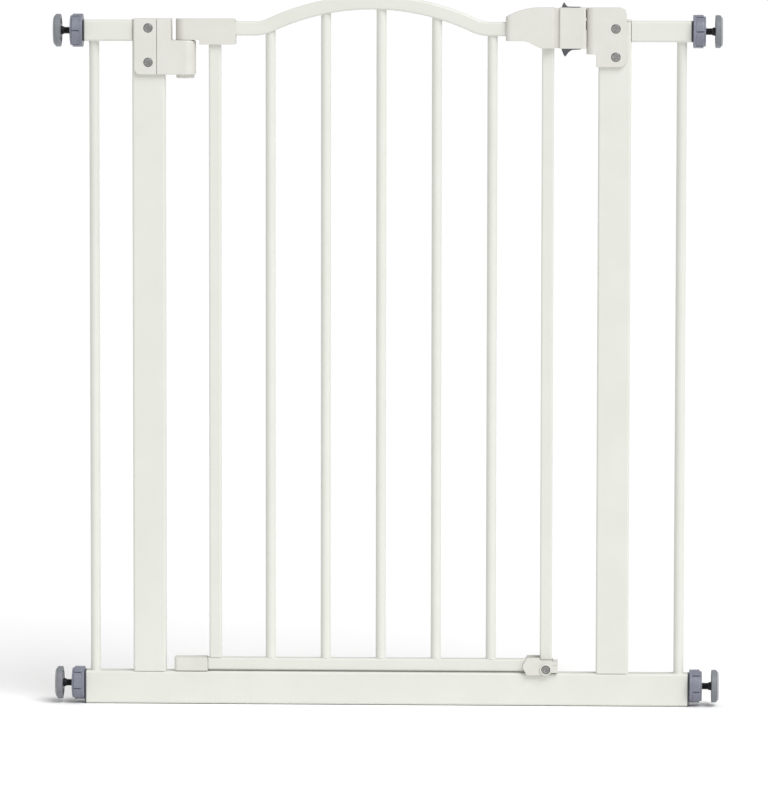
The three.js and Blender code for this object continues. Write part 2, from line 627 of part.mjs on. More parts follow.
// A door bar, cut off just under the arched rail.
function doorBar(x) {
  const above = [
    ...archEdge(-DOOR_RAIL / 2 - JOINT_GAP, hingeX, handleRight),
    ...polygon([[handleRight, 2 * FRAME_HEIGHT], [hingeX, 2 * FRAME_HEIGHT]]),
  ];
  const bar = roundBar(x, doorRailTop + JOINT_GAP, shoulderTop + ARCH_RISE);
  return cut(bar, alongY(above, -FRAME_DEPTH, FRAME_DEPTH));
}

function stile(x) {
  const half = DOOR_TUBE / 2;
  const [outer, holes] = tubeSection(x - half, x + half, -half, half, DOOR_WALL, DOOR_CORNER);
  return alongZ(outer, doorRailTop + JOINT_GAP, shoulderBottom - JOINT_GAP, holes);
}

const stopScrewZ = doorBottom + STOP_SCREW_HEIGHT;

function doorBottomRail() {
  const half = DOOR_TUBE / 2;
  const [outer, holes] = tubeSection(-half, half, doorBottom, doorRailTop, DOOR_WALL, DOOR_CORNER);
  const rail = alongX(outer, hingeX + LOWER_CAP_LENGTH + JOINT_GAP, doorRight, holes);
  const hole = alongY(circle(latchStileX, stopScrewZ, STOP_SCREW_SHAFT / 2 + SCREW_CLEARANCE, ROUND / 2),
    -FRAME_DEPTH, FRAME_DEPTH);
  return cut(rail, hole);
}

function doorTubes() {
  const pitch = (latchStileX - hingeStileX) / (BAR_COUNT + 1);
  return [
    mesh('door_top_rail', topRail(), whiteEnamel),
    mesh('door_bottom_rail', doorBottomRail(), whiteEnamel),
    mesh('hinge_stile', stile(hingeStileX), whiteEnamel),
    mesh('latch_stile', stile(latchStileX), whiteEnamel),
    ...Array.from({ length: BAR_COUNT }, (_, i) =>
      mesh(`door_bar_${i + 1}`, doorBar(hingeStileX + pitch * (i + 1)), whiteEnamel)),
  ];
}

// ---- Handle and latch -------------------------------------------------------------------------------

// The handle seen from the front: low at its left end, stepped underneath, with a neck before its head.
function handleOutline() {
  const topZ = catchTop;
  const riseEndX = handleLeft + HANDLE_RISE_LENGTH;
  const rise = CATCH_TOP - HANDLE_END_TOP;
  const radius = (HANDLE_RISE_LENGTH ** 2 + rise ** 2) / (2 * rise);
  const climb = Math.asin(HANDLE_RISE_LENGTH / radius);
  const stepX = handleLeft + HANDLE_STEP_START;
  const step = Array.from({ length: 9 }, (_, i) => new THREE.Vector2(
    stepX + (HANDLE_STEP_LENGTH * i) / 8,
    handleBottom + (HANDLE_STEP * (1 + Math.cos((Math.PI * i) / 8))) / 2));
  return [
    new THREE.Vector2(handleLeft, handleBottom + HANDLE_STEP),
    ...step,
    ...polygon([[neckLeft, handleBottom], [neckLeft, handleBottom + NECK_INSET],
      [headLeft, handleBottom + NECK_INSET], [headLeft, handleBottom], [handleRight, handleBottom],
      [handleRight, topZ], [headLeft, topZ], [headLeft, topZ - NECK_INSET], [neckLeft, topZ - NECK_INSET],
      [neckLeft, topZ]]),
    ...arc(riseEndX, topZ - radius, radius, Math.PI / 2, Math.PI / 2 + climb, BEND),
  ];
}

// The handle seen from above, with its rounded ends and its neck.
function handlePlan() {
  const half = fittingHalf;
  const neck = half - NECK_INSET;
  const grip = rectangle(handleLeft, neckLeft, -half, half, [6, 1, 1, 6]);
  const head = rectangle(headLeft, handleRight, -half, half, [1, 3, 3, 1]);
  const span = (points) => alongZ(points, 0, 2 * FRAME_HEIGHT);
  const link = block(neckLeft - 1, headLeft + 1, -neck, neck, 0, 2 * FRAME_HEIGHT);
  return join(span(grip), span(head), link);
}

// The hollow for the slider, with its two finger slots and the mouth for its bolt.
function sliderRoom() {
  const floor = handleBottom + SHELL_WALL + 0.6;
  const roof = catchTop - SHELL_WALL - 0.6;
  const slotHalf = SLOT_WIDTH / 2;
  const bolt = TONGUE_WIDTH / 2 + RUNNING;
  return join(
    block(cavityLeft, cavityRight, -sliderHalf - RUNNING, sliderHalf + RUNNING, floor, roof),
    block(finNeckLeft - LATCH_TRAVEL - RUNNING, finNeckRight + RUNNING, -slotHalf, slotHalf,
      handleBottom - 1, catchTop + 1),
    block(cavityRight - 1, handleRight + 1, -bolt, bolt,
      boltBottom - RUNNING, boltBottom + BOLT_HEIGHT + RUNNING));
}

const finNeckLeft = sliderLeft + 1.5;
const finNeckRight = sliderRight - 3.5;
const handleScrews = [[handleLeft + 26, shoulderTop + 6.2], [neckLeft - 8, shoulderTop + 7.5]];

// One half of the handle, in front of (side -1) or behind (side 1) the door's top corner.
function handleShell(side) {
  const seam = JOINT_GAP / 2;
  const [near, far] = side < 0 ? [-fittingHalf, -seam] : [seam, fittingHalf];
  const tongueHalf = TONGUE_WIDTH / 2;
  const tongue = side < 0
    ? block(handleRight - 1, handleRight + TONGUE_LENGTH, -tongueHalf, -seam, tongueBottom, tongueBottom + TONGUE_HEIGHT)
    : block(handleRight - 1, handleRight + TONGUE_LENGTH, seam, tongueHalf, tongueBottom, tongueBottom + TONGUE_HEIGHT);
  const railHalf = DOOR_RAIL / 2 + POST_CLEARANCE;
  const stileHalf = DOOR_TUBE / 2 + POST_CLEARANCE;
  const railSpace = block(handleLeft - 1, doorRight + POST_CLEARANCE, -railHalf, railHalf,
    shoulderBottom - POST_CLEARANCE, shoulderTop + POST_CLEARANCE);
  const stileSpace = block(latchStileX - stileHalf, latchStileX + stileHalf, -stileHalf, stileHalf,
    handleBottom - 1, shoulderBottom);
  const body = overlap(alongY(handleOutline(), near, far), handlePlan());
  const bores = handleScrews.map(([x, z]) => handleScrewSeat(x, z));
  return cut(join(body, tongue), railSpace, stileSpace, sliderRoom(), ...bores);
}

// A stepped hole from the back of the handle: head recess, then a bore that stops short of the front.
function handleScrewSeat(x, z) {
  const bore = alongY(circle(x, z, HANDLE_SCREW_SHAFT / 2 + SCREW_CLEARANCE, ROUND / 2),
    -fittingHalf + 3, 2 * fittingHalf);
  const recess = alongY(circle(x, z, HANDLE_SCREW_HEAD / 2 + SCREW_CLEARANCE, ROUND / 2),
    -sunkFace - SCREW_HEAD_THICKNESS - SCREW_CLEARANCE, 2 * fittingHalf);
  return join(bore, recess);
}

function handleScrew(x, z) {
  return screw(0, sunkFace, 0, HANDLE_SCREW_HEAD, SCREW_HEAD_THICKNESS, HANDLE_SCREW_SHAFT, FITTING_DEPTH - 4)
    .rotateZ(Math.PI).translate(x, 0, z);
}

// A finger fin on the slider: steep towards the hand, then a long ramp, upwards or downwards from z.
function fin(z, up, height) {
  const left = sliderLeft - LATCH_TRAVEL - 0.6;
  const outline = polygon([[left, z], [left + 2, z + up * height * 0.7], [left + 3.2, z + up * height],
    [left + 4.6, z + up * height * 0.85], [left + 9.5, z + up * 1.6], [left + FIN_LENGTH, z + up * 0.6],
    [left + FIN_LENGTH, z]]);
  return alongY(outline, -FIN_WIDTH / 2, FIN_WIDTH / 2);
}

function latchSlider() {
  const floor = handleBottom + SHELL_WALL + 0.6 + RUNNING;
  const roof = catchTop - SHELL_WALL - 0.6 - RUNNING;
  const neckHalf = SLOT_WIDTH / 2 - RUNNING;
  const boltTip = handleRight + LATCH_TRAVEL - RUNNING;
  const boltHalf = TONGUE_WIDTH / 2;
  const body = block(sliderLeft, sliderRight, -sliderHalf, sliderHalf, floor, roof);
  const neck = block(finNeckLeft, finNeckRight, -neckHalf, neckHalf,
    handleBottom - JOINT_GAP - 0.5, catchTop + JOINT_GAP + 0.5);
  const bolt = block(sliderRight - 1, boltTip, -boltHalf, boltHalf, boltBottom, boltBottom + BOLT_HEIGHT);
  const pocket = alongX(circle(0, springZ, SPRING_RADIUS + SPRING_WIRE / 2 + 2 * RUNNING, ROUND / 2),
    sliderLeft - 1, sliderLeft + SPRING_POCKET_DEPTH);
  return cut(join(body, neck, bolt, fin(catchTop + JOINT_GAP, 1, FIN_HEIGHT),
    fin(handleBottom - JOINT_GAP, -1, LOWER_FIN_HEIGHT)), pocket);
}

// The slider's return spring, a coil about X between the handle's neck and the slider.
function latchSpring() {
  const from = cavityLeft + SPRING_WIRE / 2 + RUNNING;
  const to = sliderLeft + SPRING_POCKET_DEPTH - SPRING_WIRE / 2 - RUNNING;
  class Coil extends THREE.Curve {
    getPoint(t, target = new THREE.Vector3()) {
      const angle = TURN * SPRING_COILS * t;
      return target.set(from + (to - from) * t,
        SPRING_RADIUS * Math.cos(angle), springZ + SPRING_RADIUS * Math.sin(angle));
    }
  }
  const wire = new THREE.Shape(circle(0, 0, SPRING_WIRE / 2, 6));
  return new THREE.ExtrudeGeometry(wire, { steps: 10 * SPRING_COILS, extrudePath: new Coil() });
}

function handleAndLatch() {
  return [
    mesh('handle_front_shell', handleShell(-1), whitePlastic),
    mesh('handle_rear_shell', handleShell(1), whitePlastic),
    ...handleScrews.map(([x, z], i) =>
      mesh(['handle_screw_left', 'handle_screw_right'][i], handleScrew(x, z), brightSteel)),
    mesh('latch_slider', latchSlider(), sliderPlastic),
    mesh('latch_spring', latchSpring(), brightSteel),
  ];
}

// ---- Bottom stop ------------------------------------------------------------------------------------

const stopRight = doorRight + 6.3;
const stopLeft = stopRight - STOP_LENGTH;
const stopTop = doorRailTop + STOP_RISE;
const stopBottom = BOTTOM_RAIL_HEIGHT - STOP_LAP;

// A saddle that holds the door's lower corner from below and straddles the frame's bottom rail.
function bottomStop() {
  const bevel = 4.5;
  const tabLeft = latchStileX + STOP_BOSS_DIAMETER / 2;
  const tabZ = [BOTTOM_RAIL_HEIGHT + 1, doorRailTop - 2.3];
  const stileLeft = latchStileX - DOOR_TUBE / 2;
  const footZ = doorRailTop - 1.1;
  const front = polygon([[stopLeft, (stopTop + stopBottom) / 2], [stopLeft + bevel, stopBottom],
    [tabLeft - 2 * bevel, stopBottom], [tabLeft, tabZ[0]], [stopRight, tabZ[0]], [stopRight, tabZ[1]],
    [tabLeft + 1, tabZ[1]], [tabLeft, footZ], [stileLeft, footZ], [stileLeft, stopTop],
    [stopLeft + bevel, stopTop]]);
  const lipInner = halfDepth + LIP_CLEARANCE;
  const seat = block(stopLeft - 1, stopRight + 1, -lipInner, lipInner, 0, BOTTOM_RAIL_HEIGHT + RUNNING);
  const side = DOOR_TUBE / 2 + POST_CLEARANCE;
  const railSpace = block(stopLeft - 1, doorRight + POST_CLEARANCE, -side, side,
    doorBottom - JOINT_GAP, 2 * doorRailTop);
  const bosses = alongY(circle(latchStileX, stopScrewZ, STOP_BOSS_DIAMETER / 2),
    -STOP_HALF_DEPTH - STOP_BOSS_PROUD, STOP_HALF_DEPTH + STOP_BOSS_PROUD);
  const shaft = alongY(circle(latchStileX, stopScrewZ, STOP_SCREW_SHAFT / 2 + SCREW_CLEARANCE, ROUND / 2),
    -FRAME_DEPTH, STOP_HALF_DEPTH);
  const head = alongY(circle(latchStileX, stopScrewZ, stopScrewHead / 2 + SCREW_CLEARANCE),
    -FRAME_DEPTH, -STOP_HALF_DEPTH + SCREW_HEAD_THICKNESS);
  return cut(join(alongY(front, -STOP_HALF_DEPTH, STOP_HALF_DEPTH), bosses), seat, railSpace, shaft, head);
}

const stopScrewHead = 8.8;

function bottomStopParts() {
  const length = 2 * STOP_HALF_DEPTH - 3;
  const headFace = -STOP_HALF_DEPTH - SCREW_CLEARANCE;
  return [
    mesh('bottom_stop', bottomStop(), whitePlastic),
    mesh('bottom_stop_screw', screw(latchStileX, headFace, stopScrewZ, stopScrewHead,
      SCREW_HEAD_THICKNESS, STOP_SCREW_SHAFT, length), brightSteel),
  ];
}

// ---- Wall adjusters ---------------------------------------------------------------------------------

const threadBore = THREAD_DIAMETER / 2 + RUNNING;
const wheelStart = PLUG_FLANGE + 2 * JOINT_GAP;
const wheelEnd = wheelStart + WHEEL_LENGTH;
const footStart = wheelEnd + FOOT_GAP;

// In an adjuster's own frame X points out of the rail at its end, and the spindle is on the axis.
function railPlug(railHeight, axisAboveCentre) {
  const flange = alongX(rectangle(-halfDepth, halfDepth, -railHeight / 2 - axisAboveCentre,
    railHeight / 2 - axisAboveCentre, evenly(FRAME_CORNER)), 0, PLUG_FLANGE);
  const inset = FRAME_WALL + JOINT_GAP;
  const insert = alongX(rectangle(-halfDepth + inset, halfDepth - inset,
    -railHeight / 2 - axisAboveCentre + inset, railHeight / 2 - axisAboveCentre - inset,
    evenly(PLUG_CORNER)), -PLUG_DEPTH, 1);
  const bore = alongX(circle(0, 0, threadBore), -PLUG_DEPTH - 1, PLUG_FLANGE + 1);
  return cut(join(flange, insert), bore).translate(JOINT_GAP, 0, 0);
}

// The hand wheel: a round flange at the rail, six lobes between notches, and a smaller step outside.
function handWheel(turn) {
  const radius = WHEEL_DIAMETER / 2;
  const body = turned([[0, 0], [radius - 0.8, 0], [radius, 0.8], [radius, WHEEL_LENGTH - 2.6],
    [radius - 1.5, WHEEL_LENGTH - 2.2], [radius - 1.7, WHEEL_LENGTH], [0, WHEEL_LENGTH]], 36);
  const notch = block(radius - NOTCH_DEPTH, radius + 2, -NOTCH_WIDTH / 2, NOTCH_WIDTH / 2, 3.4, WHEEL_LENGTH + 1);
  const notches = Array.from({ length: WHEEL_LOBES }, (_, i) =>
    notch.clone().rotateZ((TURN * (i + 0.5)) / WHEEL_LOBES));
  const bore = alongZ(circle(0, 0, threadBore), -1, WHEEL_LENGTH + 1);
  const made = geometryOf(cut(body, bore, ...notches));
  return made.rotateY(Math.PI / 2).rotateX(turn).translate(wheelStart, 0, 0);
}

function spindle() {
  const radius = THREAD_DIAMETER / 2;
  const tip = footStart + FOOT_THICKNESS - 2;
  const collar = footStart - JOINT_GAP;
  return turned([[0, tip - SPINDLE_LENGTH], [radius - 0.8, tip - SPINDLE_LENGTH],
    [radius, tip - SPINDLE_LENGTH + 0.8], [radius, collar - 1.8], [radius + 1, collar - 1.8],
    [radius + 1, collar], [radius, collar], [radius, tip], [0, tip]], 24).rotateY(Math.PI / 2);
}

function foot() {
  const radius = FOOT_DIAMETER / 2;
  const socket = THREAD_DIAMETER / 2 + JOINT_GAP;
  return turned([[socket, 0], [radius - 1.6, 0], [radius, 1.6], [radius, FOOT_THICKNESS],
    [0, FOOT_THICKNESS], [0, FOOT_THICKNESS - 2 + JOINT_GAP],
    [socket, FOOT_THICKNESS - 2 + JOINT_GAP], [socket, 0]], 36)
    .rotateY(Math.PI / 2).translate(footStart, 0, 0);
}

function wallPad() {
  const radius = FOOT_DIAMETER / 2 - PAD_INSET;
  return turned([[0, 0], [radius, 0], [radius, PAD_THICKNESS - 0.6], [radius - 0.6, PAD_THICKNESS],
    [0, PAD_THICKNESS]], 36).rotateY(Math.PI / 2).translate(footStart + FOOT_THICKNESS + JOINT_GAP, 0, 0);
}

function adjuster(corner, side, z, railHeight, railCentreZ, turn) {
  const group = new THREE.Group();
  group.add(
    mesh(`${corner}_rail_plug`, railPlug(railHeight, z - railCentreZ), darkPlastic),
    mesh(`${corner}_hand_wheel`, handWheel(turn), greyPlastic),
    mesh(`${corner}_spindle`, spindle(), blackSteel),
    mesh(`${corner}_foot`, foot(), greyPlastic),
    mesh(`${corner}_wall_pad`, wallPad(), padRubber),
  );
  group.position.set(side * railEnd, 0, z);
  group.rotation.z = side < 0 ? Math.PI : 0;
  return group;
}

function adjusters() {
  const quarterLobe = TURN / WHEEL_LOBES / 4;
  const lower = [LOWER_ADJUSTER_Z, BOTTOM_RAIL_HEIGHT, BOTTOM_RAIL_HEIGHT / 2];
  const upper = [upperAdjusterZ, SIDE_RAIL_HEIGHT, upperAdjusterZ];
  return [
    adjuster('upper_left', -1, ...upper, 0),
    adjuster('upper_right', 1, ...upper, 0),
    adjuster('lower_left', -1, ...lower, -quarterLobe),
    adjuster('lower_right', 1, ...lower, quarterLobe),
  ];
}

// ---- The gate ---------------------------------------------------------------------------------------

const gate = new THREE.Group();
gate.name = 'pet_gate';
gate.add(...frameTubes(), ...hingeSide(), ...catchSide(), ...doorTubes(), ...handleAndLatch(),
  ...bottomStopParts(), ...adjusters());

export default gate;
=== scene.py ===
"""A pressure-fit pet gate in a plain studio: white tubes, white mouldings, grey hand wheels and feet.

Pieces are modelled at one unit to the millimetre, because rounding and cutting are more exact at that size,
and each is brought to metres when it is fitted to the body it moves with.
"""
import logging
import math
from contextlib import contextmanager
from dataclasses import dataclass, field
from enum import Enum
from typing import Callable, Iterator, Sequence

import bmesh
import bpy
from mathutils import Matrix, Vector


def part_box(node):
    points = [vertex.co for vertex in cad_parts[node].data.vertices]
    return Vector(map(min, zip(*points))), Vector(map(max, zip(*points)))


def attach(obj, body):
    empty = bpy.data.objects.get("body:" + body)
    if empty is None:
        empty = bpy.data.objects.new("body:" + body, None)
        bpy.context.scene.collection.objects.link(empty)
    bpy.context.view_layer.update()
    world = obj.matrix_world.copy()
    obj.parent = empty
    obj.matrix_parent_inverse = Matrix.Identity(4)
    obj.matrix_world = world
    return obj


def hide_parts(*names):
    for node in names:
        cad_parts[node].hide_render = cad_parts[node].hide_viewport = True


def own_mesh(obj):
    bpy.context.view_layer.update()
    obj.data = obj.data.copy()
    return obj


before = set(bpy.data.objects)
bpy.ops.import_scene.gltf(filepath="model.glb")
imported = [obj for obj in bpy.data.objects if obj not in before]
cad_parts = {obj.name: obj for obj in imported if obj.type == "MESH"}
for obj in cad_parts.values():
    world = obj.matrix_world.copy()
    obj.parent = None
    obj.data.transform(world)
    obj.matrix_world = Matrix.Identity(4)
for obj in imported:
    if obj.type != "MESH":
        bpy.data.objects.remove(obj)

LOG = logging.getLogger("pet_gate")
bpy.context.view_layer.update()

METRE = 1000.0       # one metre in millimetres
NEAR = 0.02          # how near a coordinate a point counts as on it
CLEAR = 0.3          # the gap between two pieces that are fitted together
SLIVER = 0.05        # the flat that a full round leaves, so that its two sides never meet
THROUGH = 30.0       # far enough to pass right through any fitting's depth
WIDE = 40.0          # far enough to pass any fitting on both sides
PAST = 20.0          # far enough beyond a fitting's end
NEXT_TO = 5.0        # just beyond a small fitting's end
FULL_TURN = 2 * math.pi
SWEEP_STEPS = 28     # facets to one turn of a coil or a thread
FILLET_STEPS = ((0.45, 0.12), (0.3, 0.22), (0.2, 0.36))    # a weld's hollow fillet: rise and widening
RUBBED_SLOT = 1      # the slot that tells bevelled faces apart
EDGE_MARK = "edge"   # the attribute that marks them for the finishes

Piece = bpy.types.Object
Triple = Sequence[float]
Span = tuple[float, float]
PointTest = Callable[[Vector], bool]
EdgeTest = Callable[[Vector, Vector], bool]
FaceTest = Callable[[Vector, Vector], bool]


# ---- Places -----------------------------------------------------------------------------------------


class Axis(Enum):
    """A direction of the gate: across, front to back, or up."""

    X = 0
    Y = 1
    Z = 2

    @property
    def unit(self) -> Vector:
        """The axis as a vector of length one."""
        return Vector([1.0 if i == self.value else 0.0 for i in range(3)])


class Side(Enum):
    """The front or the rear half of a fitting."""

    FRONT = -1
    REAR = 1


@dataclass(frozen=True)
class Extent:
    """The lowest and highest corner of something, in millimetres."""

    low: Vector
    high: Vector

    @classmethod
    def of(cls, node: str) -> "Extent":
        """Measures a CAD node.

        Args:
            node: the node's name.

        Returns:
            Its extent.
        """
        low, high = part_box(node)
        return cls(low * METRE, high * METRE)

    @property
    def centre(self) -> Vector:
        """The point in the middle."""
        return (self.low + self.high) / 2


# ---- Tests that pick points, edges and faces --------------------------------------------------------


def point_at(**at: float) -> PointTest:
    """Makes a test for points on given coordinates.

    Args:
        at: any of x, y and z.

    Returns:
        The test.
    """
    return lambda p: all(abs(getattr(p, k) - v) < NEAR for k, v in at.items())


def edge_along(axis: Axis, **at: float) -> EdgeTest:
    """Makes a test for edges that run along an axis, on given coordinates.

    Args:
        axis: the edges' direction.
        at: any of x, y and z.

    Returns:
        The test.
    """
    on_line = point_at(**at)

    def test(a: Vector, b: Vector) -> bool:
        """Tells whether the edge between two points is one."""
        run = (b - a).normalized()
        return abs(run[axis.value]) > 0.999 and on_line(a) and on_line(b)

    return test


def rim_at(**at: float) -> EdgeTest:
    """Makes a test for edges that lie wholly on given coordinates.

    Args:
        at: any of x, y and z.

    Returns:
        The test.
    """
    on_rim = point_at(**at)
    return lambda a, b: on_rim(a) and on_rim(b)


def facing(direction: Triple, **at: float) -> FaceTest:
    """Makes a test for faces that look one way, on given coordinates.

    Args:
        direction: the way they look.
        at: any of x, y and z, of the face's centre.

    Returns:
        The test.
    """
    on_place, way = point_at(**at), Vector(direction).normalized()
    return lambda centre, normal: normal.dot(way) > 0.99 and on_place(centre)


# ---- Modelling --------------------------------------------------------------------------------------


def alone(obj: Piece) -> None:
    """Selects one object and nothing else, and makes it active.

    Args:
        obj: the object.
    """
    bpy.ops.object.select_all(action="DESELECT")
    obj.select_set(True)
    bpy.context.view_layer.objects.active = obj


@contextmanager
def shaping(obj: Piece, kind: str) -> Iterator[bmesh.types.BMesh]:
    """Opens an object in edit mode with nothing selected.

    Args:
        obj: the object.
        kind: VERT, EDGE or FACE, what is about to be selected.

    Returns:
        The mesh being edited, for selecting in.
    """
    alone(obj)
    bpy.ops.object.mode_set(mode="EDIT")
    bpy.ops.mesh.select_mode(type=kind)
    bpy.ops.mesh.select_all(action="DESELECT")
    yield bmesh.from_edit_mesh(obj.data)
    bpy.ops.object.mode_set(mode="OBJECT")


def _pick(obj: Piece, mesh: bmesh.types.BMesh, parts: Sequence, passes: Callable[..., bool]) -> int:
    """Selects some of a mesh's points, edges or faces, and nothing else.

    Args:
        obj: the object.
        mesh: its mesh, open in edit mode.
        parts: the mesh's points, edges or faces.
        passes: which of them.

    Returns:
        How many were picked.
    """
    bpy.ops.mesh.select_all(action="DESELECT")
    for part in parts:
        part.select_set(passes(part))
    mesh.select_flush_mode()
    bmesh.update_edit_mesh(obj.data)
    return sum(part.select for part in parts)


def pick_points(obj: Piece, mesh: bmesh.types.BMesh, test: PointTest) -> int:
    """Selects the points that pass a test, and returns how many there are."""
    return _pick(obj, mesh, mesh.verts, lambda vert: test(vert.co))


def pick_edges(obj: Piece, mesh: bmesh.types.BMesh, test: EdgeTest) -> int:
    """Selects the edges that pass a test, and returns how many there are."""
    return _pick(obj, mesh, mesh.edges, lambda edge: test(edge.verts[0].co, edge.verts[1].co))


def pick_faces(obj: Piece, mesh: bmesh.types.BMesh, test: FaceTest) -> int:
    """Selects the faces that pass a test, and returns how many there are."""
    return _pick(obj, mesh, mesh.faces, lambda face: test(face.calc_center_median(), face.normal))


def block(name: str, low: Triple, high: Triple) -> Piece:
    """Adds a rectangular block.

    Args:
        name: the object's name.
        low: its lowest corner.
        high: its highest corner.

    Returns:
        The block, with its place in its mesh.
    """
    a, b = Vector(low), Vector(high)
    bpy.ops.object.select_all(action="DESELECT")
    bpy.ops.mesh.primitive_cube_add(size=1.0, location=(a + b) / 2, scale=b - a)
    return _settled(name)


def rod(name: str, axis: Axis, centre: Triple, radius: float, start: float, end: float,
        sides: int = 48) -> Piece:
    """Adds a round bar along an axis.

    Args:
        name: the object's name.
        axis: its direction.
        centre: a point on its axis.
        radius: its radius.
        start: where it starts on the axis.
        end: where it ends.
        sides: how many facets it has round it.

    Returns:
        The bar, with its place in its mesh.
    """
    place = Vector(centre)
    place[axis.value] = (start + end) / 2
    turn = {Axis.X: (0, math.pi / 2, 0), Axis.Y: (math.pi / 2, 0, 0), Axis.Z: (0, 0, 0)}[axis]
    bpy.ops.object.select_all(action="DESELECT")
    bpy.ops.mesh.primitive_cylinder_add(vertices=sides, radius=radius, depth=end - start,
                                        location=place, rotation=turn)
    return _settled(name)


def _settled(name: str) -> Piece:
    """Names the new object and moves its place into its mesh.

    Args:
        name: the object's name.

    Returns:
        The object.
    """
    obj = bpy.context.object
    bpy.ops.object.transform_apply(location=True, rotation=True, scale=True)
    obj.name = obj.data.name = name
    return obj


def bevel(obj: Piece, test: EdgeTest, width: float, segments: int = 6) -> None:
    """Rounds the edges that pass a test.

    Args:
        obj: the object.
        test: which edges.
        width: the radius.
        segments: the number of steps in the rounding.
    """
    with shaping(obj, "EDGE") as mesh:
        if pick_edges(obj, mesh, test):
            bpy.ops.mesh.bevel(offset=width, offset_type="OFFSET", segments=segments, profile=0.5,
                               affect="EDGES", clamp_overlap=False)


def grow(obj: Piece, test: FaceTest, move: Triple, inset: float = 0.0) -> None:
    """Insets the faces that pass a test, and extrudes them.

    Args:
        obj: the object.
        test: which faces.
        move: how far they are extruded.
        inset: how far they are first drawn in.
    """
    with shaping(obj, "FACE") as mesh:
        if not pick_faces(obj, mesh, test):
            return
        if inset:
            bpy.ops.mesh.inset(thickness=inset, depth=0.0, use_even_offset=True)
        bpy.ops.mesh.extrude_region_move(TRANSFORM_OT_translate={"value": tuple(move)})


def slice_at(obj: Piece, axis: Axis, places: Sequence[float]) -> None:
    """Adds a line of points all round an object, at each of some places along an axis.

    Args:
        obj: the object.
        axis: the axis.
        places: the places along it.
    """
    with shaping(obj, "FACE"):
        for place in places:
            bpy.ops.mesh.select_all(action="SELECT")
            bpy.ops.mesh.bisect(plane_co=axis.unit * place, plane_no=axis.unit)


def slide(obj: Piece, test: PointTest, move: Triple) -> None:
    """Moves the points that pass a test.

    Args:
        obj: the object.
        test: which points.
        move: how far they go.
    """
    with shaping(obj, "VERT") as mesh:
        if pick_points(obj, mesh, test):
            bpy.ops.transform.translate(value=tuple(move))


def flare(obj: Piece, end: float, outward: float, centre: Triple, radius: float) -> None:
    """Gives a standing bar's end the small hollow fillet of a weld.

    Args:
        obj: the bar.
        end: the height of its end.
        outward: 1 for the upper end, -1 for the lower.
        centre: a point on its axis.
        radius: the bar's radius.
    """
    with shaping(obj, "FACE") as mesh:
        pick_faces(obj, mesh, facing((0, 0, outward), z=end))
        size = radius
        for rise, widening in FILLET_STEPS:
            bpy.ops.mesh.extrude_region_move(TRANSFORM_OT_translate={"value": (0, 0, outward * rise)})
            scale = (size + widening) / size
            size += widening
            bpy.ops.transform.resize(value=(scale, scale, 1), center_override=(centre[0], centre[1], end))


def apply_modifier(obj: Piece, modifier: bpy.types.Modifier) -> None:
    """Makes a modifier's result the object's mesh."""
    alone(obj)
    bpy.ops.object.modifier_apply(modifier=modifier.name)


def ring(name: str, centre: Vector, outer: float, inner: float, start: float, end: float,
         sides: int = 96, core_sides: int = 96) -> Piece:
    """Makes a flat ring round the X axis through a point.

    Args:
        name: the object's name.
        centre: a point on its axis.
        outer: its outer radius.
        inner: its inner radius.
        start: where it starts on the axis.
        end: where it ends.
        sides: how many facets it has round its outside.
        core_sides: how many it has round its inside.

    Returns:
        The ring.
    """
    disc = rod(name, Axis.X, centre, outer, start, end, sides)
    return carve(disc, rod("core", Axis.X, centre, inner, start - 2, end + 2, core_sides))


def spread(obj: Piece, centre: Vector, angle: float) -> Piece:
    """Turns something made beside the X axis to its place round a line through a point."""
    obj.data.transform(Matrix.Translation((0, 0, centre.z)) @ Matrix.Rotation(angle, 4, "X"))
    return obj


def _combine(obj: Piece, others: Sequence[Piece], operation: str) -> Piece:
    """Joins other objects to one, or cuts them from it, and removes them.

    Args:
        obj: the object that is kept.
        others: the others.
        operation: UNION or DIFFERENCE.

    Returns:
        The same object.
    """
    for other in others:
        modifier = obj.modifiers.new("combine", "BOOLEAN")
        modifier.operation, modifier.solver, modifier.object = operation, "EXACT", other
        apply_modifier(obj, modifier)
        bpy.data.objects.remove(other, do_unlink=True)
    return obj


def carve(obj: Piece, *cutters: Piece) -> Piece:
    """Cuts other objects from one."""
    return _combine(obj, cutters, "DIFFERENCE")


def weld(obj: Piece, *others: Piece) -> Piece:
    """Joins other objects to one."""
    return _combine(obj, others, "UNION")


def _give_slots(obj: Piece) -> None:
    """Gives a piece two empty slots, so that the bevel can tell its new faces apart.

    Args:
        obj: the piece.
    """
    obj.data.materials.clear()
    for _ in range(RUBBED_SLOT + 1):
        obj.data.materials.append(None)


def _mark_edges(obj: Piece) -> None:
    """Turns the bevelled faces' slot into the mark that the finishes wear down.

    Args:
        obj: the piece.
    """
    faces = obj.data.polygons
    rubbed = [float(face.material_index == RUBBED_SLOT) for face in faces]
    faces.foreach_set("material_index", [0] * len(faces))
    obj.data.materials.clear()
    marks = obj.data.attributes.get(EDGE_MARK) or obj.data.attributes.new(EDGE_MARK, "FLOAT", "FACE")
    marks.data.foreach_set("value", rubbed)


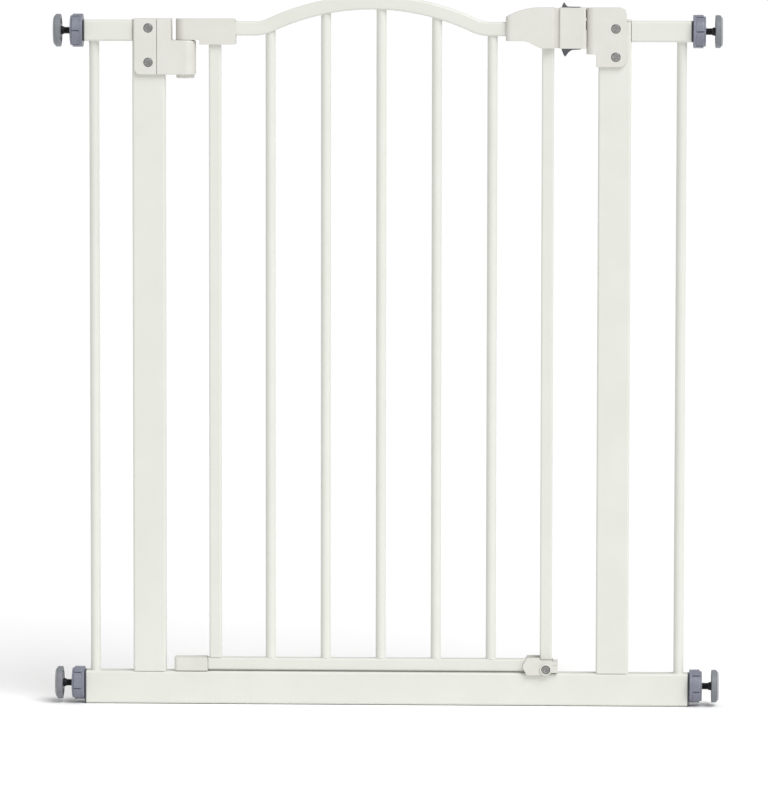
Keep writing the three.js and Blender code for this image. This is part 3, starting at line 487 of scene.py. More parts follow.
def soften(obj: Piece, width: float, segments: int = 3, angle: float = 32.0) -> Piece:
    """Breaks every sharp edge by a small radius and shades the piece smooth.

    Args:
        obj: the object.
        width: the radius.
        segments: the number of steps in each edge.
        angle: edges that turn by more than this many degrees are sharp.

    Returns:
        The same object.
    """
    alone(obj)
    if width:
        modifier = obj.modifiers.new("edges", "BEVEL")
        modifier.width, modifier.segments = width, segments
        modifier.limit_method, modifier.angle_limit = "ANGLE", math.radians(angle)
        modifier.use_clamp_overlap = False
        modifier.material = RUBBED_SLOT
        _give_slots(obj)
        apply_modifier(obj, modifier)
        _mark_edges(obj)
    bpy.ops.object.shade_smooth_by_angle(angle=math.radians(max(angle, 50.0)))
    if width:
        even = obj.modifiers.new("flat_faces", "WEIGHTED_NORMAL")
        even.keep_sharp, even.weight = True, 60
        apply_modifier(obj, even)
    return obj


def coil(obj: Piece, turns: int, rise: float, merge: bool = False) -> None:
    """Sweeps an open section round and along the X axis, and closes the ends.

    Args:
        obj: the section.
        turns: the number of turns.
        rise: how far it moves along the axis in a turn.
        merge: whether each turn's edge is the next one's.
    """
    modifier = obj.modifiers.new("coil", "SCREW")
    modifier.axis, modifier.angle, modifier.iterations = "X", FULL_TURN, turns
    modifier.screw_offset = rise
    modifier.steps = modifier.render_steps = SWEEP_STEPS
    if merge:
        modifier.use_merge_vertices, modifier.merge_threshold = True, 0.001
    apply_modifier(obj, modifier)
    with shaping(obj, "VERT"):
        bpy.ops.mesh.select_all(action="SELECT")
        bpy.ops.mesh.remove_doubles(threshold=0.001)
        bpy.ops.mesh.fill_holes(sides=0)
        bpy.ops.mesh.normals_make_consistent(inside=False)


def copied(obj: Piece, name: str, move: Matrix) -> Piece:
    """Copies a piece with a mesh of its own.

    Args:
        obj: the piece.
        name: the copy's name.
        move: where the copy goes from there.

    Returns:
        The copy.
    """
    new = obj.copy()
    new.data = obj.data.copy()
    new.data.transform(move)
    new.name = new.data.name = name
    bpy.context.scene.collection.objects.link(new)
    return new


# ---- Finishes ---------------------------------------------------------------------------------------


def linear(code: str) -> tuple[float, float, float, float]:
    """Turns a screen colour such as e9eae3 into a shader's colour."""
    parts = [int(code[i:i + 2], 16) / 255 for i in (0, 2, 4)]
    return (*[c / 12.92 if c <= 0.04045 else ((c + 0.055) / 1.055) ** 2.4 for c in parts], 1.0)


@dataclass
class Shading:
    """A material's nodes while they are being put together."""

    material: bpy.types.Material
    stretch: Triple
    point: bpy.types.NodeSocket = field(init=False)

    def __post_init__(self) -> None:
        """Starts with the place that every pattern is read at."""
        self.material.use_nodes = True
        place, mapping = self.node("ShaderNodeTexCoord"), self.node("ShaderNodeMapping")
        mapping.inputs["Scale"].default_value = self.stretch
        self.join(place.outputs["Object"], mapping.inputs["Vector"])
        self.point = mapping.outputs["Vector"]

    @property
    def shader(self) -> bpy.types.Node:
        """The surface shader."""
        return self.material.node_tree.nodes["Principled BSDF"]

    def node(self, kind: str) -> bpy.types.Node:
        """Adds a node."""
        return self.material.node_tree.nodes.new(kind)

    def join(self, source: bpy.types.NodeSocket, target: bpy.types.NodeSocket) -> None:
        """Joins an output to an input."""
        self.material.node_tree.links.new(source, target)

    def noise(self, scale: float, detail: float) -> bpy.types.NodeSocket:
        """Adds a noise pattern.

        Args:
            scale: how fine it is.
            detail: how many finer layers it has.

        Returns:
            Its value.
        """
        noise = self.node("ShaderNodeTexNoise")
        for socket, value in (("Scale", scale), ("Detail", detail), ("Roughness", 0.55)):
            noise.inputs[socket].default_value = value
        self.join(self.point, noise.inputs["Vector"])
        return noise.outputs["Fac"]

    def ranged(self, value: bpy.types.NodeSocket, source: Span, target: Span) -> bpy.types.NodeSocket:
        """Brings one range of a value to another.

        Args:
            value: the value.
            source: the range it is read in.
            target: the range it comes out in.

        Returns:
            The result.
        """
        change = self.node("ShaderNodeMapRange")
        change.inputs["From Min"].default_value, change.inputs["From Max"].default_value = source
        change.inputs["To Min"].default_value, change.inputs["To Max"].default_value = target
        self.join(value, change.inputs["Value"])
        return change.outputs["Result"]

    def maths(self, operation: str, *values: bpy.types.NodeSocket | float) -> bpy.types.NodeSocket:
        """Adds a sum.

        Args:
            operation: the kind of sum.
            values: what goes into it, values of nodes or plain numbers.

        Returns:
            The result.
        """
        node = self.node("ShaderNodeMath")
        node.operation = operation
        for slot, value in zip(node.inputs, values):
            if isinstance(value, float):
                slot.default_value = value
            else:
                self.join(value, slot)
        return node.outputs["Value"]

    def bump(self, height: bpy.types.NodeSocket, depth: float) -> bpy.types.Node:
        """Adds a bump.

        Args:
            height: the pattern that raises it.
            depth: how high the pattern raises it, in metres.

        Returns:
            Its node.
        """
        bump = self.node("ShaderNodeBump")
        bump.inputs["Strength"].default_value, bump.inputs["Distance"].default_value = 1.0, depth
        self.join(height, bump.inputs["Height"])
        return bump


@dataclass(frozen=True)
class Finish:
    """A surface: its colour, its gloss, how both vary over the piece, and how its edges wear."""

    name: str
    slot: str
    colour: str
    shade: str
    roughness: float
    metallic: float = 0.0
    gloss_spread: float = 0.05
    cloud: float = 22.0
    grain: float = 900.0
    grain_depth: float = 0.00001
    swell: float = 160.0
    swell_depth: float = 0.00001
    stretch: tuple[float, float, float] = (1.0, 1.0, 1.0)
    coat: float = 0.0
    edge: str = "c6c6c1"
    edge_wear: float = 0.35
    polish: float = -0.25
    patches: Span = (0.3, 0.7)
    rubbed_patches: Span = (0.4, 0.62)

    def material(self) -> bpy.types.Material:
        """Makes the material, or finds it if it is there already.

        Returns:
            The material.
        """
        made = bpy.data.materials.get(self.name)
        if made:
            return made
        made = bpy.data.materials.new(self.name)
        nodes = Shading(made, self.stretch)
        surface = nodes.shader.inputs
        surface["Metallic"].default_value, surface["Coat Weight"].default_value = self.metallic, self.coat

        ramp = nodes.node("ShaderNodeValToRGB")
        for stop, position, colour in zip(ramp.color_ramp.elements, self.patches, (self.shade, self.colour)):
            stop.position, stop.color = position, linear(colour)
        nodes.join(nodes.noise(self.cloud, 4.0), ramp.inputs["Fac"])
        edges = nodes.node("ShaderNodeAttribute")
        edges.attribute_name = EDGE_MARK
        patches = nodes.ranged(nodes.noise(self.cloud * 3, 5.0), self.rubbed_patches, (0.0, self.edge_wear))
        worn = nodes.maths("MULTIPLY", edges.outputs["Fac"], patches)
        rubbed = nodes.node("ShaderNodeMix")
        rubbed.data_type = "RGBA"
        rubbed.inputs["B"].default_value = linear(self.edge)
        nodes.join(worn, rubbed.inputs["Factor"])
        nodes.join(ramp.outputs["Color"], rubbed.inputs["A"])
        nodes.join(rubbed.outputs["Result"], surface["Base Color"])

        low, high = self.roughness - self.gloss_spread, self.roughness + self.gloss_spread
        gloss = nodes.ranged(nodes.noise(self.cloud * 5, 6.0), self.patches, (low, high))
        nodes.join(nodes.maths("MULTIPLY_ADD", worn, self.polish, gloss), surface["Roughness"])

        coarse = nodes.bump(nodes.noise(self.swell, 2.0), self.swell_depth)
        fine = nodes.bump(nodes.noise(self.grain, 3.0), self.grain_depth)
        nodes.join(coarse.outputs["Normal"], fine.inputs["Normal"])
        nodes.join(fine.outputs["Normal"], surface["Normal"])
        return made


POWDER_COAT = Finish("white_powder_coat", "white_enamel", "d9dad3", "d5d6ce", 0.34, gloss_spread=0.05,
                     grain=520.0, grain_depth=0.000012, swell=110.0, swell_depth=0.00003, coat=0.15)
WHITE_MOULDING = Finish("white_moulding", "white_plastic", "d5d4ce", "d0cfc8", 0.46, gloss_spread=0.06,
                        cloud=40.0, grain=1900.0, grain_depth=0.000012, swell=260.0, swell_depth=0.000012)
GREY_MOULDING = Finish("grey_moulding", "grey_plastic", "7e818f", "747784", 0.34, gloss_spread=0.08,
                       cloud=60.0, grain=1700.0, grain_depth=0.000016, swell=300.0, swell_depth=0.00002,
                       edge="a9adb6", edge_wear=0.6)
FOOT_MOULDING = Finish("foot_moulding", "grey_plastic", "7d8187", "72767c", 0.42, gloss_spread=0.08,
                       cloud=60.0, grain=1700.0, grain_depth=0.000016, swell=300.0, swell_depth=0.00002,
                       edge="a2a5aa", edge_wear=0.6)
DARK_MOULDING = Finish("dark_moulding", "dark_plastic", "54565b", "46484d", 0.5, gloss_spread=0.08,
                       cloud=70.0, grain=1700.0, grain_depth=0.000016, edge="6c6e73", edge_wear=0.6)
SLIDER_MOULDING = Finish("slider_moulding", "slider_plastic", "5e6065", "515358", 0.42, gloss_spread=0.08,
                         cloud=80.0, grain=2100.0, grain_depth=0.000014, edge="9a9da4", edge_wear=0.7)
BLACK_STEEL = Finish("blackened_steel", "black_steel", "3a3b3e", "26272a", 0.38, metallic=0.85,
                     gloss_spread=0.12, cloud=140.0, grain=2600.0, grain_depth=0.00001,
                     edge="6f7073", edge_wear=0.8)
ZINC = Finish("zinc_plated_steel", "bright_steel", "a4a4a3", "8a8a8a", 0.36, metallic=0.9,
              gloss_spread=0.12, cloud=120.0, grain=2200.0, grain_depth=0.000008, stretch=(1.0, 1.0, 6.0),
              edge="c4c4c3", edge_wear=0.8)
PAD_RUBBER = Finish("pad_rubber", "pad_rubber", "5c5f64", "4d5054", 0.82, gloss_spread=0.08,
                    cloud=90.0, grain=1300.0, grain_depth=0.00004, edge="77797d", edge_wear=0.5)


def fit(piece: Piece, body: str, finish: Finish, *nodes: str) -> Piece:
    """Brings a finished piece to metres, dresses it and joins it to the body it moves with.

    Args:
        piece: the piece, in millimetres.
        body: the body's name.
        finish: its surface.
        nodes: the CAD nodes that it stands for.

    Returns:
        The piece.
    """
    piece.data.transform(Matrix.Scale(1 / METRE, 4))
    piece.data.materials.clear()
    piece.data.materials.append(finish.material())
    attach(piece, body)
    if nodes:
        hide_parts(*nodes)
    LOG.info("%s: %d faces, on %s", piece.name, len(piece.data.polygons), body)
    return piece


def dress_node(node: str, finish: Finish) -> None:
    """Gives a CAD node that stays as it is a better surface.

    Args:
        node: the node's name.
        finish: its surface.
    """
    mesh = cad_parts[node].data
    if not mesh.materials:
        mesh.materials.append(finish.material())
    for i in range(len(mesh.materials)):
        mesh.materials[i] = finish.material()
    LOG.info("%s: kept, %s", node, finish.name)


# ---- Screws -----------------------------------------------------------------------------------------


@dataclass
class PanScrew:
    """A pan-head screw with a cross recess, along the gate's depth."""

    head_radius: float = 4.65
    head_height: float = 1.8
    shaft_radius: float = 2.3
    length: float = 25.0
    crown_share: float = 0.38
    arm_share: float = 0.62
    slot_share: float = 0.15
    depth_share: float = 0.75
    first_turn: float = math.radians(17)
    next_turn: float = math.radians(31)

    def master(self, name: str) -> Piece:
        """Models the screw at the origin, its head's face at 0 and its shaft towards +Y.

        Args:
            name: the object's name.

        Returns:
            The screw.
        """
        head = rod(name, Axis.Y, (0, 0, 0), self.head_radius, 0, self.head_height, 40)
        bevel(head, rim_at(y=0), self.head_height * self.crown_share, 5)
        shaft = rod("shaft", Axis.Y, (0, 0, 0), self.shaft_radius, self.head_height - 0.2, self.length, 24)
        weld(head, shaft)
        arm, slot = self.head_radius * self.arm_share, self.head_radius * self.slot_share
        depth = self.head_height * self.depth_share
        carve(head, block("arm", (-arm, -1, -slot), (arm, depth, slot)),
              block("arm", (-slot, -1, -arm), (slot, depth, arm)))
        return soften(head, 0.12, 2, 40)

    def place(self, body: str, sites: dict[str, tuple[float, float, float]], turned: bool = False) -> None:
        """Copies the screw to its places.

        Args:
            body: the body that holds them.
            sites: for each CAD node, the middle of the screw head's face.
            turned: whether the screws go in from behind.
        """
        master = self.master("screw_master")
        for i, (node, site) in enumerate(sites.items()):
            spin = Matrix.Rotation(self.first_turn + self.next_turn * i, 4, "Y")
            turn = Matrix.Rotation(math.pi if turned else 0, 4, "Z")
            piece = copied(master, node + "_pan_head", Matrix.Translation(Vector(site)) @ turn @ spin)
            fit(piece, body, ZINC, node)
        bpy.data.objects.remove(master, do_unlink=True)


@dataclass(frozen=True)
class Seat:
    """A screw's recess in a front face, with its bore right through."""

    radius: float = 4.95
    depth_to: float = -11.2
    bore: float = 2.6

    def cutters(self, x: float, z: float) -> list[Piece]:
        """Makes the cutters for the seat at a place across and up."""
        return [rod("recess", Axis.Y, (x, 0, z), self.radius, -THROUGH, self.depth_to, 40),
                rod("bore", Axis.Y, (x, 0, z), self.bore, -THROUGH, THROUGH, 24)]


# ---- Frame ------------------------------------------------------------------------------------------


@dataclass
class SteelTube:
    """A straight rectangular tube with rounded corners and open ends."""

    node: str
    body: str
    axis: Axis
    corner: float
    wall: float
    hollow: float = 60.0
    welded: tuple[bool, bool] = (False, False)
    reach: float = CLEAR

    def build(self) -> Piece:
        """Models the tube, which goes right up to what its welded ends meet, and fits it.

        Returns:
            The tube.
        """
        place = Extent.of(self.node)
        low = place.low - self.axis.unit * (self.reach * self.welded[0])
        high = place.high + self.axis.unit * (self.reach * self.welded[1])
        tube = block(self.node + "_tube", low, high)
        bevel(tube, edge_along(self.axis), self.corner, 6)
        for end, way, shut in ((low, -1, self.welded[0]), (high, 1, self.welded[1])):
            if not shut:
                self._open(tube, end[self.axis.value], way)
        soften(tube, 0.25, 2, 40)
        return fit(tube, self.body, POWDER_COAT, self.node)

    def _open(self, tube: Piece, end: float, way: int) -> None:
        """Hollows one end of the tube."""
        test = facing(self.axis.unit * way, **{self.axis.name.lower(): end})
        grow(tube, test, self.axis.unit * (-way * self.hollow), self.wall)


@dataclass
class RoundBar:
    """A round tube standing between two rails, welded at its ends."""

    node: str
    body: str
    weld_top: bool
    reach: float = CLEAR
    fillet: float = sum(rise for rise, _ in FILLET_STEPS)
    hidden: float = 0.4

    def build(self) -> Piece:
        """Models the bar and fits it.

        Returns:
            The bar.
        """
        place = Extent.of(self.node)
        centre = place.centre
        radius = (place.high.y - place.low.y) / 2
        bottom = place.low.z - self.reach + self.fillet
        top = place.high.z + (self.reach - self.fillet if self.weld_top else self.hidden)
        bar = rod(self.node + "_round_tube", Axis.Z, centre, radius, bottom, top)
        flare(bar, bottom, -1, centre, radius)
        if self.weld_top:
            flare(bar, top, 1, centre, radius)
        soften(bar, 0, 1, 50)
        return fit(bar, self.body, POWDER_COAT, self.node)


@dataclass
class PostCap:
    """A pressed-in cap on top of a post."""

    node: str
    lid: float = 2.2
    corner: float = 2.5
    rim: float = 0.9
    inset: float = 1.8

    def build(self) -> Piece:
        """Models the cap and fits it.

        Returns:
            The cap.
        """
        place = Extent.of(self.node)
        seam = place.high.z - self.lid
        cap = block(self.node + "_lid", (place.low.x, place.low.y, seam), place.high)
        bevel(cap, edge_along(Axis.Z), self.corner, 6)
        bevel(cap, rim_at(z=place.high.z), self.rim, 4)
        grow(cap, facing((0, 0, -1), z=seam), (0, 0, place.low.z - seam), self.inset)
        soften(cap, 0.15, 2, 40)
        return fit(cap, "frame", WHITE_MOULDING, self.node)


@dataclass
class FrameTubes:
    """The U-shaped frame and its two short side panels."""

    corner: float = 2.5
    wall: float = 1.5
    post_hollow: float = 20.0
    rails: dict[str, tuple[bool, bool]] = field(default_factory=lambda: {
        "bottom_rail": (False, False), "left_side_rail": (False, True), "right_side_rail": (True, False)})
    posts: tuple[str, ...] = ("left_post", "right_post")

    def build(self) -> None:
        """Models every tube and cap of the frame."""
        for node, welded in self.rails.items():
            SteelTube(node, "frame", Axis.X, self.corner, self.wall, welded=welded).build()
        for node in self.posts:
            SteelTube(node, "frame", Axis.Z, self.corner, self.wall, self.post_hollow, (True, False)).build()
            PostCap(node + "_cap").build()
        for node in ("left_side_bar", "right_side_bar"):
            RoundBar(node, "frame", weld_top=True).build()


# ---- Hinge side -------------------------------------------------------------------------------------


@dataclass
class HingeSide:
    """The bracket on the left post with its pins, and the door's two hinge caps."""

    pin_radius: float = 4.0
    pin_head: float = 6.0
    pin_head_height: float = 4.0
    ledge: float = 712.0
    upright: float = 14.6
    lower_corner: float = 7.0
    upper_corner: float = 3.0
    nose_edge: float = 2.4
    boss_radius: float = 9.75
    boss_height: float = 4.0
    screw_heights: tuple[float, float] = (725.0, 688.5)
    screw_inset: float = 14.9
    head_face: float = -13.3
    screw_seat: Seat = Seat()
    cap_step: float = 15.4
    upper_pocket: float = 726.0
    lower_pocket: float = 44.0
    pocket_depth: float = 4.3
    rail_height: float = 15.3
    spigot_inset: float = 1.5
    hinge: Vector = field(init=False)
    post: Extent = field(init=False)

    def __post_init__(self) -> None:
        """Finds the hinge's axis and the post."""
        self.hinge = Extent.of("upper_hinge_pin").centre
        self.post = Extent.of("left_post")

    def build(self) -> None:
        """Models the bracket, its clamp and screws, the pins and the caps, and dresses the bush."""
        self._bracket()
        self._clamp()
        self._screws()
        self._upper_cap()
        self._lower_cap()
        for node in ("upper_hinge_pin", "lower_hinge_pin"):
            self._pin(node)
        dress_node("lower_hinge_bush", DARK_MOULDING)

    def _post_space(self) -> Piece:
        """The room that the post takes in the bracket."""
        gap = Vector((CLEAR, CLEAR, 300))
        return block("post_space", self.post.low - gap, self.post.high + gap)

    def _pin_bore(self, start: float, end: float) -> Piece:
        """The room for a pin's shaft between two heights."""
        return rod("pin_bore", Axis.Z, self.hinge, self.pin_radius + CLEAR, start, end)

    def _pin_pocket(self, start: float) -> Piece:
        """The room for a pin's head above a height."""
        return rod("pin_pocket", Axis.Z, self.hinge, self.pin_head + CLEAR, start - CLEAR,
                   start + self.pocket_depth)

    def _round_left(self, piece: Piece, place: Extent) -> None:
        """Rounds the two outer corners that the bracket and its clamp share."""
        bevel(piece, edge_along(Axis.Y, x=place.low.x, z=place.low.z), self.lower_corner, 8)
        bevel(piece, edge_along(Axis.Y, x=place.low.x, z=place.high.z), self.upper_corner, 5)

    def _screw_x(self) -> float:
        """How far across the two screws are."""
        return Extent.of("hinge_clamp").low.x + self.screw_inset

    def _bracket(self) -> None:
        """Models the bracket with the ledge that the door rests on."""
        place = Extent.of("hinge_block")
        clamp = Extent.of("hinge_clamp")
        low, high = place.low.copy(), place.high
        low.z += self.boss_height
        bracket = block("hinge_bracket", low, high)
        bevel(bracket, edge_along(Axis.Z, x=high.x), high.x - self.hinge.x - SLIVER, 12)
        self._round_left(bracket, Extent(low, high))
        upright = self.hinge.x - self.upright
        carve(bracket,
              block("notch", (upright, -WIDE, self.ledge), (high.x + PAST, WIDE, high.z + PAST)),
              block("clamp_space", (low.x - PAST, -WIDE, low.z - PAST),
                    (clamp.high.x + CLEAR, 0, high.z + PAST)))
        nose = rim_at(z=self.ledge)
        bevel(bracket, lambda a, b: nose(a, b) and min(a.x, b.x) > self.hinge.x - 3, self.nose_edge, 5)
        boss = rod("boss", Axis.Z, self.hinge, self.boss_radius, place.low.z, low.z + 1, 64)
        bevel(boss, rim_at(z=place.low.z), 1.5, 4)
        weld(bracket, boss)
        carve(bracket, self._post_space(), self._pin_bore(low.z - WIDE, high.z + WIDE))
        for z in self.screw_heights:
            carve(bracket, rod("bore", Axis.Y, (self._screw_x(), 0, z), self.screw_seat.bore, 0,
                               high.y + PAST, 24))
        soften(bracket, 0.6, 3)
        fit(bracket, "frame", WHITE_MOULDING, "hinge_block")

    def _clamp(self) -> None:
        """Models the clamp's front plate with its two sunk screw seats."""
        place = Extent.of("hinge_clamp")
        plate = block("hinge_clamp_plate", place.low, place.high)
        self._round_left(plate, place)
        for z in self.screw_heights:
            carve(plate, *self.screw_seat.cutters(self._screw_x(), z))
        soften(plate, 0.45, 3)
        fit(plate, "frame", WHITE_MOULDING, "hinge_clamp")

    def _screws(self) -> None:
        """Places the bracket's two screws."""
        nodes = ("hinge_screw_upper", "hinge_screw_lower")
        sites = {n: (self._screw_x(), self.head_face, z) for n, z in zip(nodes, self.screw_heights)}
        PanScrew().place("frame", sites)

    def _upper_cap(self) -> None:
        """Models the cap that carries the door's top rail on the upper pin."""
        place = Extent.of("upper_hinge_cap")
        rail = Extent.of("door_top_rail")
        stile = Extent.of("hinge_stile")
        seat_z, step = self.ledge + CLEAR, self.hinge.x + self.cap_step
        cap = block("upper_hinge_cap_shell", (place.low.x, place.low.y, seat_z), place.high)
        slice_at(cap, Axis.X, [step])
        grow(cap, lambda c, n: n.z < -0.99 and c.x > step, (0, 0, place.low.z - seat_z))
        bevel(cap, edge_along(Axis.Z, x=place.low.x), place.high.y - SLIVER, 14)
        bevel(cap, edge_along(Axis.Y, x=place.high.x, z=place.high.z), 3.0, 6)
        bevel(cap, edge_along(Axis.Y, x=place.high.x, z=place.low.z), 1.4, 5)
        half = rail.high.y + CLEAR
        shoulder = stile.high.z + CLEAR
        carve(cap,
              block("rail_space", (step, -half, stile.high.z),
                    (place.high.x + PAST, half, shoulder + self.rail_height)),
              block("stile_space", (stile.low.x - CLEAR, stile.low.y - CLEAR, stile.low.z),
                    (stile.high.x + CLEAR, stile.high.y + CLEAR, shoulder)),
              self._pin_bore(stile.low.z, self.upper_pocket), self._pin_pocket(self.upper_pocket))
        soften(cap, 0.3, 3)
        fit(cap, "door", WHITE_MOULDING, "upper_hinge_cap")

    def _lower_cap(self) -> None:
        """Models the cap that carries the door's bottom rail on the lower pin."""
        place = Extent.of("lower_hinge_cap")
        rail = Extent.of("door_bottom_rail")
        shoulder, inset = rail.low.x - CLEAR, self.spigot_inset
        cap = block("lower_hinge_cap_shell", place.low, (shoulder, place.high.y, place.high.z))
        bevel(cap, edge_along(Axis.Z, x=place.low.x), 3.5, 8)
        bevel(cap, edge_along(Axis.Y, x=shoulder, z=place.high.z), 2.4, 4)
        spigot = block("spigot", (shoulder - 1, rail.low.y + inset, rail.low.z + inset),
                       (place.high.x, rail.high.y - inset, rail.high.z - inset))
        bevel(spigot, edge_along(Axis.X), 1.2, 3)
        weld(cap, spigot)
        carve(cap, self._pin_bore(0, self.lower_pocket), self._pin_pocket(self.lower_pocket))
        soften(cap, 0.7, 3)
        fit(cap, "door", WHITE_MOULDING, "lower_hinge_cap")

    def _pin(self, node: str) -> None:
        """Models a headed hinge pin.

        Args:
            node: the pin's name in the CAD nodes.
        """
        place = Extent.of(node)
        top, bottom = place.high.z, place.high.z - self.pin_head_height
        head = rod(node + "_headed", Axis.Z, self.hinge, self.pin_head, bottom, top)
        bevel(head, rim_at(z=top), 0.8, 3)
        shaft = rod("shaft", Axis.Z, self.hinge, self.pin_radius, place.low.z, bottom + 0.5)
        bevel(shaft, rim_at(z=place.low.z), 1.0, 3)
        weld(head, shaft)
        soften(head, 0.1, 2, 40)
        fit(head, "hinge_pins", ZINC, node)


# ---- Catch ------------------------------------------------------------------------------------------


@dataclass
class Catch:
    """The two moulded halves round the right post, with the open slot for the latch."""

    corner: float = 8.0
    block_height: float = 49.5
    channel_width: float = 10.4
    channel_length: float = 10.7
    lap: float = 2.4
    channel_depth: float = 26.5
    shell_wall: float = 2.4
    post_top: float = 735.0
    crown_half: float = 10.0
    screw_heights: tuple[float, float] = (725.0, 695.0)
    screw_inset: float = 11.7
    head_face: float = -13.3
    screw_seat: Seat = Seat()

    def build(self) -> None:
        """Models both halves and their screws."""
        self._shell("catch_front_shell", Side.FRONT)
        self._shell("catch_rear_shell", Side.REAR)
        sites = {n: (self._screw_x(), self.head_face, z)
                 for n, z in zip(("catch_screw_upper", "catch_screw_lower"), self.screw_heights)}
        PanScrew().place("frame", sites)

    def _screw_x(self) -> float:
        """How far across the two screws are."""
        return Extent.of("catch_front_shell").high.x - self.screw_inset

    def _shell(self, node: str, side: Side) -> None:
        """Models one half.

        Args:
            node: the half's name in the CAD nodes.
            side: which half it is.
        """
        place, post = Extent.of(node), Extent.of("right_post")
        low, high = place.low, place.high
        outer = low.y if side is Side.FRONT else high.y
        shell = block(node + "_moulding", low, high)
        bevel(shell, edge_along(Axis.Z, x=low.x, y=outer), self.corner, 10)
        for z in (high.z, low.z):
            bevel(shell, edge_along(Axis.Y, x=high.x, z=z), self.corner, 8)
        half, crown, wall = self.channel_width / 2, self.crown_half, self.shell_wall
        carve(shell,
              block("notch", (low.x - PAST, -WIDE, low.z - PAST),
                    (post.low.x - self.lap, WIDE, high.z - self.block_height)),
              block("channel", (low.x - PAST, -half, high.z - self.channel_depth),
                    (low.x + self.channel_length, half, high.z + PAST)),
              block("post_space", (post.low.x - CLEAR, post.low.y - CLEAR, 0),
                    (post.high.x + CLEAR, post.high.y + CLEAR, self.post_top + CLEAR)),
              block("crown_room", (post.low.x - CLEAR, -crown, self.post_top),
                    (high.x - wall, crown, high.z - wall)))
        for z in self.screw_heights:
            carve(shell, *self.screw_seat.cutters(self._screw_x(), z))
        soften(shell, 0.6, 3)
        fit(shell, "frame", WHITE_MOULDING, node)


# ---- Door -------------------------------------------------------------------------------------------


@dataclass
class ArchedRail:
    """The door's top rail: a square tube bent up, over and down between straight ends."""

    node: str = "door_top_rail"
    tube: float = 15.0
    corner: float = 2.2
    rise: float = 28.0
    crown_radius: float = 255.0
    bend_radius: float = 40.0
    bend_steps: int = 14
    crown_steps: int = 56
    centre_x: float = -16.5

    def build(self) -> None:
        """Models the rail by sweeping its section along each stretch."""
        place = Extent.of(self.node)
        half = self.tube / 2
        line = place.low.z + half
        lean = math.acos(1 - self.rise / (self.crown_radius + self.bend_radius))
        span = (self.crown_radius + self.bend_radius) * math.sin(lean)
        start = self.centre_x - span
        rail = block("door_arched_rail", (place.low.x, -half, place.low.z),
                     (start, half, place.low.z + self.tube))
        bevel(rail, edge_along(Axis.X), self.corner, 6)
        with shaping(rail, "FACE") as mesh:
            pick_faces(rail, mesh, facing((1, 0, 0), x=start))
            bend_z = line + self.bend_radius
            crown_z = line + self.rise - self.crown_radius
            self._sweep(lean, (start, 0, bend_z), self.bend_steps)
            self._sweep(-2 * lean, (self.centre_x, 0, crown_z), self.crown_steps)
            self._sweep(lean, (self.centre_x + span, 0, bend_z), self.bend_steps)
            run = place.high.x - (self.centre_x + span)
            bpy.ops.mesh.extrude_region_move(TRANSFORM_OT_translate={"value": (run, 0, 0)})
        soften(rail, 0, 1, 40)
        fit(rail, "door", POWDER_COAT, self.node)

    @staticmethod
    def _sweep(angle: float, centre: Triple, steps: int) -> None:
        """Sweeps the open end round a centre."""
        bpy.ops.mesh.spin(steps=steps, angle=angle, center=centre, axis=(0, 1, 0), dupli=False)


@dataclass
class DoorLattice:
    """The door's tubes: two stiles, a bottom rail, the arched rail and the round bars."""

    corner: float = 2.0
    wall: float = 1.2
    rail_hollow: float = 30.0
    bars: int = 5

    def build(self) -> None:
        """Models every tube of the door."""
        for node in ("hinge_stile", "latch_stile"):
            SteelTube(node, "door", Axis.Z, self.corner, self.wall, welded=(True, True)).build()
        SteelTube("door_bottom_rail", "door", Axis.X, self.corner, self.wall, self.rail_hollow).build()
        ArchedRail().build()
        for i in range(self.bars):
            RoundBar(f"door_bar_{i + 1}", "door", weld_top=False).build()


# ---- Handle and latch -------------------------------------------------------------------------------


@dataclass(frozen=True)
class Bolt:
    """What the handle and the latch share: where the bolt and the finger slots are."""

    gap: float = 0.5
    bottom: float = 724.0
    height: float = 9.5
    half: float = 4.2
    slot_start: float = 24.1
    slot_end: float = 7.5
    slot_half: float = 3.7

    def catch_face(self) -> float:
        """How far to the right the handle's head goes: just short of the catch."""
        return Extent.of("catch_front_shell").low.x - self.gap


BOLT = Bolt()


